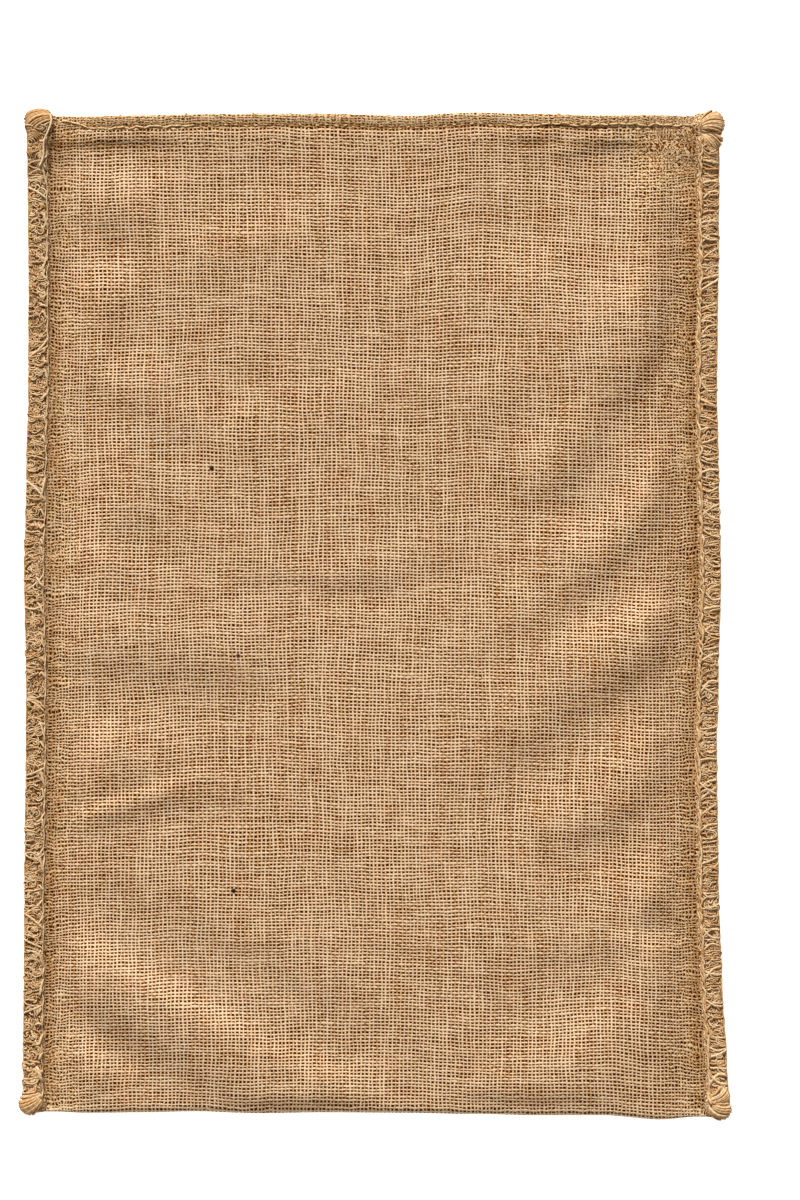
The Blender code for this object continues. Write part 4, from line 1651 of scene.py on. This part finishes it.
@dataclass
class SideSeam:
    """One side seam: the rolled cloth edge, and the yarn sewn over it in sheaves, bows and crossing strands.

    Places across the seam are those of its skin. A strand's length along the seam is its fall, and a
    jitter is how far a place may lie to either side.
    """

    skin: SeamSkin
    edge_material: bpy.types.Material
    yarn_material: bpy.types.Material
    stitch: float = 0.0150
    stitch_jitter: float = 0.0030
    stitch_margins: Pair = (0.014, 0.017)
    end_setback: float = 0.0022
    strays_each: int = 2
    loop_radius: float = 0.00082
    plait_radius: float = 0.00100
    flatten: float = 0.9
    hole_line: float = 0.20
    outer_line_at: float = 0.93
    outer_line_step: float = 0.006
    sheaf_fall: float = 0.0095
    cross_jitter: float = 0.0040
    cross_hook: float = 0.0036
    stray_fall: float = 0.0055
    stray_bow: float = 0.0040
    bow_step: float = 0.0020
    bow_points: int = 12
    heft_gain: float = 0.6
    heft_start: float = 0.030
    heft_length: float = 0.060
    edge_rings: int = 1120
    edge_sides: int = 22
    edge_closing: float = 0.003
    edge_least_height: float = 0.0006
    rib_height: float = 0.00018
    rib_pitch: float = 0.00345
    lump_height: float = 0.0007
    wrap: float = 0.031
    weave_stretch: Pair = (1.3, 1.2)
    edge_pull: float = 1.2
    edge_patches: float = 0.14
    seed: int = 70

    @property
    def name(self) -> str:
        """The node that the seam stands for."""
        return f"seam_{self.skin.side.name.lower()}"

    @property
    def sewing(self) -> Sewing:
        """How this side's yarn lies."""
        return SEWING[self.skin.side]

    def ends(self) -> Pair:
        """Where the seam's rolled edge starts and ends along Y."""
        bottom, mouth = (KNOTS[self.skin.side, end].reach_y - self.end_setback for end in End)
        return -bottom, mouth

    def rolled_edge(self) -> Piece:
        """Make the cloth edge under the yarn: a closed roll with the weft's ribs round its outside.

        Returns:
            The piece.
        """
        low, high = self.ends()
        y = np.linspace(low, high, self.edge_rings)[:, None]
        across = np.linspace(0, 2, self.edge_sides)[None, :]
        ribs = self.rib_height * np.cos(TAU * (y + 0.0008 * patchy(y, across * 0.01, 0.02, 41)) / self.rib_pitch)
        lumps = self.lump_height * patchy(across * 0.02, y, 0.008, 42 + self.skin.side.value)
        points = self.skin.point(across, y, (ribs + lumps) * ease((across + 0.2) / 0.5))
        closing = np.clip(np.minimum(y - low, high - y) / self.edge_closing, 0, 1)
        shrink = np.sqrt(np.clip(1 - (1 - closing) ** 2, 0.02, 1))
        centre = points.mean(axis=1, keepdims=True)
        points = centre + (points - centre) * shrink[:, :, None]
        points[:, :, 2] = np.maximum(points[:, :, 2], self.edge_least_height)
        index = ring_index(self.edge_rings, self.edge_sides)
        faces = cell_corners(index).reshape(-1, 4).tolist()
        faces += [index[0, :-1].tolist(), index[-1, -2::-1].tolist()]
        if self.skin.side is Side.RIGHT:
            faces = [face[::-1] for face in faces]
        mesh = new_mesh(f"{self.name}_edge", points, faces)
        arc, along = np.broadcast_arrays(across * self.wrap, y)
        u = self.weave_stretch[0] * (arc + 0.0016 * patchy(arc, along, 0.010, 43))
        v = self.weave_stretch[1] * (along + 0.0022 * patchy(arc, along, 0.009, 44))
        corner = np.concatenate(faces)
        add_map(mesh, WEAVE_MAP, u.ravel()[corner], v.ravel()[corner])
        set_attribute(mesh, PULL, np.full(arc.shape, self.edge_pull))
        # Painted shade on the rolled edge under the yarn, uneven in patches.
        patches = self.edge_patches * patchy(across * 0.02, y, 0.006, 45)
        set_attribute(mesh, SHADE, self.sewing.edge_shade + patches)
        mesh.shade_smooth()
        return new_piece(mesh, self.edge_material)

    def strand(self, stops: Sequence[Triple], count: int) -> Array:
        """A strand over the seam, from places of (across, y, lift)."""
        return self.skin.point(*smooth_line(stops, count).T)

    def heft(self, place: float) -> float:
        """How much thicker the yarn's loops are: they grow towards the bottom end."""
        return 1.0 + self.heft_gain * float(fade(place - self.ends()[0], self.heft_start, self.heft_length))

    def stitches(self) -> Piece:
        """Lay all the yarn of the seam in one piece.

        Returns:
            The piece.
        """
        rng = np.random.default_rng(self.seed + self.skin.side.value)
        yarn = YarnMesh(sides=6)
        low, high = self.ends()
        first, last = low + self.stitch_margins[0], high - self.stitch_margins[1]
        count = round((last - first) / self.stitch)
        holes = first + (last - first) * np.arange(count + 1) / count
        holes[1:-1] += rng.uniform(-self.stitch_jitter, self.stitch_jitter, count - 1)
        for hole, after in zip(holes, holes[1:]):
            self.sheaf(yarn, rng, hole, after)
            self.cross_strand(yarn, rng, hole, after)
            for _ in range(self.strays_each):
                self.stray(yarn, rng, rng.uniform(hole, after))
            for _ in range(self.sewing.bows_each):
                self.bows(yarn, rng, rng.uniform(hole, after))
        self.inner_line(yarn, rng, holes)
        self.outer_line(yarn, rng, first, last)
        return yarn.build(f"{self.name}_yarn", self.yarn_material)

    def sheaf(self, yarn: YarnMesh, rng: Generator, hole: float, after: float) -> None:
        """Lay strands side by side that leave the inner line steeply and bend out to the edge.

        Args:
            yarn: The bundle to add them to.
            rng: Gives them their unevenness.
            hole: Where the stitch starts along the seam.
            after: Where it ends.
        """
        count = int(rng.integers(*self.sewing.sheaf_strands))
        fall = rng.uniform(-self.sheaf_fall, self.sheaf_fall)
        steep = rng.uniform(0.45, 0.9)
        for number in range(count):
            start = hole + (after - hole) * (number + rng.uniform(0.2, 0.8)) / count - fall * 0.5
            size = self.loop_radius * rng.uniform(0.8, 1.2) * self.heft(start)
            lift = size * rng.uniform(0.2, 0.9)
            reach = rng.uniform(0.74, 0.96)
            inner = self.hole_line + rng.uniform(-0.02, 0.08)
            stops = [
                (inner, start, 0.0),
                (inner + 0.10, start + fall * steep * 0.6, lift),
                (inner + 0.28, start + fall * steep + rng.uniform(-0.0007, 0.0007), lift * 1.1),
                ((inner + 0.28 + reach) / 2, start + fall * (1 + steep) / 2, lift),
                (reach, start + fall, 0.0),
            ]
            yarn.add(self.strand(stops, 15), size, rng.uniform(0.3, 0.95), self.flatten)

    def cross_strand(self, yarn: YarnMesh, rng: Generator, hole: float, after: float) -> None:
        """Lay the light strand that runs from a stitch hole over the roll and goes under at its outer edge.

        Args:
            yarn: The bundle to add it to.
            rng: Gives it its unevenness.
            hole: Where the stitch starts along the seam.
            after: Where it ends.
        """
        chance = self.sewing.long_chance
        fall = rng.uniform(0.10, 1.05) * (after - hole) * (1 if rng.random() < 0.6 else -1)
        reach = rng.uniform(0.86, 1.0) if chance == 1.0 or rng.random() < chance else rng.uniform(0.28, 0.50)
        size = self.loop_radius * rng.uniform(1.1, 1.5) * self.heft(hole)
        lift = size * rng.uniform(0.6, 1.1)
        hook = rng.uniform(-self.cross_hook, self.cross_hook)
        start = hole + rng.uniform(-self.cross_jitter, self.cross_jitter)
        run = reach - self.hole_line
        stops = [
            (self.hole_line - 0.04, start, 0.0),
            (self.hole_line + 0.16 * run, start + fall * 0.42, lift),
            (self.hole_line + 0.50 * run, start + fall * 0.86, lift * 1.1),
            (self.hole_line + 0.82 * run, start + fall + hook, lift * 0.8),
            (reach, start + fall + hook * 1.6, 0.0),
        ]
        girth = size * (0.72 + 0.40 * np.sin(np.linspace(0.15, 0.9, 17) * math.pi))
        yarn.add(self.strand(stops, 17), girth, rng.uniform(0.8, 1.0), self.flatten)

    def stray(self, yarn: YarnMesh, rng: Generator, place: float) -> None:
        """Lay a short strand that strays over the others in a bow.

        Args:
            yarn: The bundle to add it to.
            rng: Gives it its unevenness.
            place: Where it starts along the seam.
        """
        start, finish = rng.uniform(self.hole_line, 0.55), rng.uniform(0.60, 1.10)
        fall = rng.uniform(-self.stray_fall, self.stray_fall)
        bow = rng.uniform(-self.stray_bow, self.stray_bow)
        size = self.loop_radius * rng.uniform(0.7, 1.1)
        lift = size * rng.uniform(1.2, 2.2)
        stops = [
            (start, place, 0.0),
            (start * 0.7 + finish * 0.3, place + fall * 0.3 + bow, lift),
            (start * 0.3 + finish * 0.7, place + fall * 0.7 + bow, lift),
            (finish, place + fall, 0.0002),
        ]
        yarn.add(self.strand(stops, 11), size, rng.uniform(0.3, 1.0), self.flatten)

    def bows(self, yarn: YarnMesh, rng: Generator, place: float) -> None:
        """Lay one or two bows of yarn, one inside the other.

        Args:
            yarn: The bundle to add them to.
            rng: Gives them their unevenness.
            place: Where their middle is along the seam.
        """
        centre = rng.uniform(0.32, 0.82)
        facing = rng.uniform(0, TAU)
        stretch = rng.uniform(0.55, 1.5)
        sweep = np.linspace(-1, 1, self.bow_points)
        for ring in range(int(rng.integers(1, 3))):
            reach = self.bow_step * (ring + rng.uniform(0.7, 1.1))
            turn = rng.uniform(0.14, 0.32)
            angle = facing + rng.uniform(-0.4, 0.4) + TAU * turn * sweep
            across = centre + reach * stretch / self.skin.drape.seam_width * np.cos(angle)
            line = self.skin.point(across, place + reach * np.sin(angle), self.loop_radius * (1.6 - 0.9 * sweep**2))
            yarn.add(line, self.loop_radius * rng.uniform(0.65, 0.95) * self.heft(place), rng.uniform(0.55, 1.0))

    def inner_line(self, yarn: YarnMesh, rng: Generator, holes: Array) -> None:
        """Lay the yarn that runs from hole to hole along the seam's inner edge, plaited where it has more strands.

        Args:
            yarn: The bundle to add it to.
            rng: Gives it its unevenness.
            holes: The stitch holes' places along the seam.
        """
        sewing = self.sewing
        size = self.plait_radius * sewing.plait_girth
        for part, tone in zip(range(sewing.plait_strands), (0.95, 0.35, 0.60)):
            stops = []
            for here, after in zip(holes, holes[1:]):
                for half in range(2):
                    turn = 2.1 * part + math.pi * (len(stops) * 0.83 + rng.uniform(-0.5, 0.5))
                    sway = sewing.plait_sway * math.cos(turn) * rng.uniform(0.3, 1.4)
                    lift = size * (sewing.plait_lift + 0.8 * math.sin(turn + 0.8))
                    across = self.hole_line - sewing.plait_inset + sway
                    stops.append((across, here + (after - here) * half / 2, lift))
            line = self.strand(stops, len(stops) * 5)
            radii = size * (1 + 0.40 * patchy(line[:, 1], line[:, 1] * 0, 0.005, 51 + part))
            yarn.add(line, radii, tone, self.flatten)

    def outer_line(self, yarn: YarnMesh, rng: Generator, first: float, last: float) -> None:
        """Lay the yarn that runs along the roll's outer edge.

        Args:
            yarn: The bundle to add it to.
            rng: Gives it its unevenness.
            first: Where it starts along the seam.
            last: Where it ends.
        """
        count = round((last - first) / self.outer_line_step)
        stops = []
        for step in range(count + 1):
            across = self.outer_line_at + rng.uniform(-0.03, 0.03)
            stops.append((across, first + (last - first) * step / count, self.loop_radius * rng.uniform(-0.1, 0.6)))
        line = self.strand(stops, count * 4)
        radii = self.loop_radius * (1.1 + 0.35 * patchy(line[:, 1], line[:, 1] * 0, 0.006, 55))
        yarn.add(line, radii, 0.40, self.flatten)

    def build(self) -> list[Piece]:
        """Make the seam's pieces.

        Returns:
            The rolled edge and its yarn.
        """
        pieces = [self.rolled_edge(), self.stitches()]
        for piece in pieces:
            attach(piece, BODY)
            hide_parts(self.name)
        return pieces


@dataclass(frozen=True)
class Hank:
    """A bundle of strands laid over a dome.

    The centre and the first two radii run outward from the sack's middle and towards its end. The
    strands cross the dome along their heading, in degrees. They are gathered at their start by a share
    of the dome's width, and bow to one side.
    """

    centre: Pair
    radii: Triple
    floor: float
    heading: float
    gather: float
    bow: float
    strands: int
    size: float
    tones: Pair


HANKS = {
    (Side.LEFT, End.MOUTH): (
        Hank((0.3392, 0.4815), (0.0095, 0.0090, 0.0065), 0.0075, -138, 0.7, -0.15, 8, 0.00090, (0.2, 0.7)),
        Hank((0.3363, 0.4940), (0.0142, 0.0118, 0.0078), 0.0090, -24, 0.45, 0.70, 10, 0.00115, (0.25, 0.90)),
    ),
    (Side.RIGHT, End.MOUTH): (
        Hank((0.3355, 0.4745), (0.0118, 0.0098, 0.0062), 0.0078, -48, 0.50, 0.25, 8, 0.00105, (0.3, 0.95)),
        Hank((0.3355, 0.4905), (0.0135, 0.0132, 0.0076), 0.0086, 20, 0.85, 0.80, 12, 0.00112, (0.45, 1.0)),
    ),
    (Side.LEFT, End.BOTTOM): (
        Hank((0.3440, 0.4808), (0.0098, 0.0052, 0.0046), 0.0062, 20, 0.20, 0.30, 3, 0.00110, (0.55, 0.95)),
        Hank((0.3437, 0.4893), (0.0122, 0.0112, 0.0058), 0.0060, 36, 0.70, 0.36, 12, 0.00140, (0.35, 0.8)),
    ),
    (Side.RIGHT, End.BOTTOM): (
        Hank((0.3440, 0.4820), (0.0100, 0.0092, 0.0054), 0.0066, -30, 0.45, 0.70, 7, 0.00140, (0.45, 1.0)),
        Hank((0.3445, 0.4950), (0.0112, 0.0108, 0.0056), 0.0062, 24, 0.40, 0.75, 8, 0.00140, (0.35, 1.0)),
    ),
}


@dataclass
class EndKnot:
    """The lump of yarn at one end of a seam, its strands gathered where the stitch goes in."""

    side: Side
    end: End
    material: bpy.types.Material
    core_reach: float = 0.88
    core_width: float = 0.86
    core_girth: float = 0.92
    core_drop: float = 0.12
    # The core's low tone is painted shade between the hank's strands.
    core_tone: float = 0.12
    tuck_reaches: tuple[float, ...] = (1.0, 0.93, 0.75)
    tuck_heights: tuple[float, ...] = (-0.30, -0.62, -0.85)
    flatten: float = 0.9
    seed: int = 90

    def lay(self, hank: Hank, plan: Array, height: Array) -> Array:
        """Turn places on a hank's dome into the model's frame.

        Args:
            hank: The bundle.
            plan: Places along and across its heading, 1 at the rim.
            height: Heights, 1 at the top and -1 at the underside.

        Returns:
            Points as rows.
        """
        angle = math.radians(hank.heading)
        along, across = plan[:, 0], plan[:, 1]
        outward = hank.centre[0] + hank.radii[0] * (along * math.cos(angle) - across * math.sin(angle))
        endward = hank.centre[1] + hank.radii[1] * (along * math.sin(angle) + across * math.cos(angle))
        return np.column_stack(
            [self.side.value * outward, self.end.value * endward, hank.floor + hank.radii[2] * height]
        )

    def core(self, yarn: YarnMesh, hank: Hank) -> None:
        """Lay the core that fills a hank, dark as painted shade between its strands.

        Args:
            yarn: The bundle to add it to.
            hank: The hank.
        """
        along = np.linspace(-self.core_reach, self.core_reach, 9)
        thick = self.core_width * min(hank.radii[0], hank.radii[1])
        line = self.lay(hank, np.column_stack([along, along * 0]), along * 0 - self.core_drop)
        girth = np.sqrt(1 - along**2) * thick * self.core_girth
        yarn.add(line, girth, self.core_tone, min(1.0, hank.radii[2] / thick))

    def wind(self, yarn: YarnMesh, rng: Generator, hank: Hank) -> None:
        """Lay one hank: its core, then each strand from its gathering point over the dome and under it.

        Args:
            yarn: The bundle to add it to.
            rng: Gives it its unevenness.
            hank: The hank.
        """
        self.core(yarn, hank)
        for number in range(hank.strands):
            across = -0.95 + 1.9 * (number + rng.uniform(0.22, 0.78)) / hank.strands
            first = across * (1 - hank.gather)
            start = np.array([-math.sqrt(1 - first**2), first])
            stop = np.array([math.sqrt(1 - across**2), across])
            bow = hank.bow * (1 - abs(across) * 0.6) + rng.uniform(-0.12, 0.12)
            plan = bent_line(start, (start + stop) / 2 + np.array([0.0, bow]), stop, 13)
            height = np.sqrt(1 - np.minimum(np.hypot(plan[:, 0], plan[:, 1]), 1.0) ** 2)
            plan = np.vstack([plan, *(stop * reach for reach in self.tuck_reaches)])
            height = np.concatenate([height, self.tuck_heights])
            size = hank.size * rng.uniform(0.85, 1.18)
            yarn.add(smooth_line(self.lay(hank, plan, height), 26), size, rng.uniform(*hank.tones), self.flatten)

    def build(self) -> Piece:
        """Wind all the knot's hanks in one piece.

        Returns:
            The piece.
        """
        rng = np.random.default_rng(self.seed + 2 * self.side.value + self.end.value)
        yarn = YarnMesh(sides=8)
        for hank in HANKS[self.side, self.end]:
            self.wind(yarn, rng, hank)
        piece = yarn.build(f"knot_{self.side.name}_{self.end.name}".lower(), self.material)
        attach(piece, BODY)
        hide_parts(f"seam_{self.side.name.lower()}")
        return piece


@dataclass
class HemStitch:
    """The yarn that sews the mouth's front hem down, and the stray fibres of its edge.

    Its line climbs to the mouth at the left end and, from the middle, at the right one. A cover is the
    share of a stitch's run that its yarn fills.
    """

    drape: Drape
    material: bpy.types.Material
    span: Pair = (-0.322, 0.318)
    shown: tuple[Pair, ...] = ((-0.320, -0.185), (0.125, 0.332))
    radius: float = 0.00095
    length: float = 0.0092
    left_cover: float = 0.97
    right_cover: Pair = (0.72, 0.92)
    hidden_cover: float = 0.34
    shown_arch: float = 1.1
    hidden_arch: float = 0.4
    wobble: float = 0.0015
    rise_from: float = -0.282
    rise: float = 0.24
    right_rise: float = 0.0025
    nubs: int = 22
    seed: int = 33

    def build(self) -> Piece:
        """Lay each stitch in the groove, long ones where the yarn shows and short dips between.

        Returns:
            The piece.
        """
        rng = np.random.default_rng(self.seed)
        yarn = YarnMesh(sides=6)
        steps = np.linspace(0, 1, 9)
        x, stop = self.span
        while x < stop:
            shows = any(low < x < high for low, high in self.shown)
            run = self.length * rng.uniform(0.85, 1.15)
            cover = self.hidden_cover
            if shows:
                cover = rng.uniform(*self.right_cover) if x > 0 else self.left_cover
            place = x + run * cover * steps
            y = self.drape.outline.mouth(place) - self.drape.stitch_drop
            y = y + self.wobble * patchy(place, place * 0, 0.007, 34)
            y = y + self.rise * np.maximum(self.rise_from - place, 0) + self.right_rise * ease((place - 0.10) / 0.10)
            arch = self.radius * (self.shown_arch if shows else self.hidden_arch)
            z = self.drape.front(place, y) + self.drape.half * 0.8 + arch * (np.sin(steps * math.pi) - 0.25)
            tone = rng.uniform(0.75, 1.0) if shows else rng.uniform(0.3, 0.7)
            yarn.add(np.column_stack([place, y, z]), self.radius * rng.uniform(0.85, 1.2), tone)
            x += run
        for _ in range(self.nubs):
            self.nub(yarn, rng, rng.uniform(-stop, stop))
        piece = yarn.build("hem_stitch", self.material)
        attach(piece, BODY)
        return piece

    def nub(self, yarn: YarnMesh, rng: Generator, x: float) -> None:
        """Lay a short end of fibre that stands out of the mouth's rolled edge.

        Args:
            yarn: The bundle to add it to.
            rng: Gives it its unevenness.
            x: Its place across the sack.
        """
        edge = float(self.drape.outline.mouth(x))
        lean = rng.uniform(-0.0022, 0.0022)
        stand = rng.uniform(-0.0004, 0.0009)
        top = float(self.drape.front(np.array(x), np.array(edge - 0.003))) + 0.0004
        line = [
            (x - lean, edge - 0.0036, top),
            (x, edge - 0.0012, top - 0.0002),
            (x + lean, edge + stand, top - 0.0014),
            (x + lean * 1.5, edge - 0.0006, top - 0.0030),
        ]
        yarn.add(smooth_line(line, 9), rng.uniform(0.0005, 0.0009), rng.uniform(0.3, 0.9))


@dataclass
class LooseEnd:
    """The free end of the sewing yarn at the upper left knot."""

    material: bpy.types.Material
    diameter: float = 0.0020
    route: tuple[Triple, ...] = (
        (-0.3250, 0.5000, 0.0146),
        (-0.3238, 0.4955, 0.0161),
        (-0.3241, 0.4900, 0.0169),
        (-0.3268, 0.4826, 0.0170),
        (-0.3295, 0.4766, 0.0161),
        (-0.3312, 0.4710, 0.0150),
        (-0.3314, 0.4640, 0.0142),
        (-0.3318, 0.4574, 0.0137),
        (-0.3338, 0.4514, 0.0134),
        (-0.3354, 0.4484, 0.0132),
    )

    def build(self) -> Piece:
        """Returns:
            The piece.
        """
        line = smooth_line(self.route, 41)
        yarn = YarnMesh(sides=8)
        yarn.add(line, self.diameter / 2, 0.95)
        piece = yarn.build("loose_end", self.material)
        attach(piece, BODY)
        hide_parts("thread_tail")
        return piece


# ---- The studio ----


@dataclass
class Studio:
    """Camera straight above the sack, soft light from the mouth's side and a little to the left, pale floor.

    The camera's frame is frame_height tall at subject_height above the floor. The key light's height
    and bearing are angles from the floor and round it.
    """

    frame_height: float = 1.200
    aim: Pair = (0.0248, 0.0141)
    distance: float = 7.0
    sensor: float = 36.0
    view_depth: float = 50.0
    subject_height: float = 0.010
    key_power: float = 4.25
    key_softness: float = math.radians(14)
    key_height: float = math.radians(30)
    key_bearing: float = math.radians(103)
    sky_power: float = 0.235
    sky_colour: Colour = (1.0, 0.92, 0.80, 1.0)
    floor_size: float = 30.0
    floor_drop: float = 0.0002
    floor_colour: Colour = linear(246, 246, 246)
    floor_roughness: float = 0.95
    floor_glow: float = 0.85

    def camera(self) -> None:
        """Make the camera, so far off that it sees the sack nearly without perspective."""
        data = bpy.data.cameras.new("camera")
        data.sensor_width = self.sensor
        data.lens = self.sensor * self.distance / self.frame_height
        data.clip_end = self.view_depth
        camera = bpy.data.objects.new("camera", data)
        camera.location = (*self.aim, self.distance + self.subject_height)
        bpy.context.scene.collection.objects.link(camera)
        bpy.context.scene.camera = camera

    def key_light(self) -> None:
        """Add the low, soft key light that falls from the mouth's side."""
        data = bpy.data.lights.new("key light", "SUN")
        data.angle = self.key_softness
        data.energy = self.key_power
        lamp = bpy.data.objects.new("key light", data)
        lamp.rotation_euler = (0.0, math.pi / 2 - self.key_height, self.key_bearing)
        bpy.context.scene.collection.objects.link(lamp)

    def sky(self) -> None:
        """Even, slightly warm light from all round."""
        world = bpy.data.worlds.new("sky")
        world.use_nodes = True
        background = world.node_tree.nodes["Background"]
        background.inputs["Color"].default_value = self.sky_colour
        background.inputs["Strength"].default_value = self.sky_power
        bpy.context.scene.world = world

    def floor(self) -> None:
        """Lay a plain pale floor."""
        deselect_all()
        bpy.ops.mesh.primitive_plane_add(size=self.floor_size, location=(0.0, 0.0, -self.floor_drop))
        ground = bpy.context.object
        ground.name = "floor"
        bpy.ops.object.transform_apply(location=True, rotation=True, scale=True)
        graph = Graph("pale floor")
        graph.surface(self.floor_colour, self.floor_roughness, 0.0)
        graph.shader.inputs["Emission Color"].default_value = (1.0, 1.0, 1.0, 1.0)
        graph.shader.inputs["Emission Strength"].default_value = self.floor_glow
        ground.data.materials.append(graph.material)

    def build(self) -> None:
        """Set up camera, lights and floor."""
        self.camera()
        self.key_light()
        self.sky()
        self.floor()
        bpy.context.scene.view_settings.view_transform = "Standard"


def main() -> None:
    """Load the frame and dress the sack."""
    logging.basicConfig(level=logging.INFO, format="%(name)s: %(message)s")
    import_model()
    Studio().build()
    drape = Drape()
    hessian, seam_yarn, stitch_yarn, loose_yarn = (
        finish.material() for finish in (HESSIAN, SEAM_YARN, STITCH_YARN, LOOSE_YARN)
    )
    made = SackCloth(drape, hessian).build()
    for side in Side:
        skin = SeamSkin(side, drape)
        made += SideSeam(skin, hessian, seam_yarn).build()
        made += [EndKnot(side, end, seam_yarn).build() for end in End]
    made.append(HemStitch(drape, stitch_yarn).build())
    made.append(LooseEnd(loose_yarn).build())
    for piece in made:
        LOG.info("%s: %d faces", piece.name, len(piece.data.polygons))


if __name__ == "__main__":
    main()
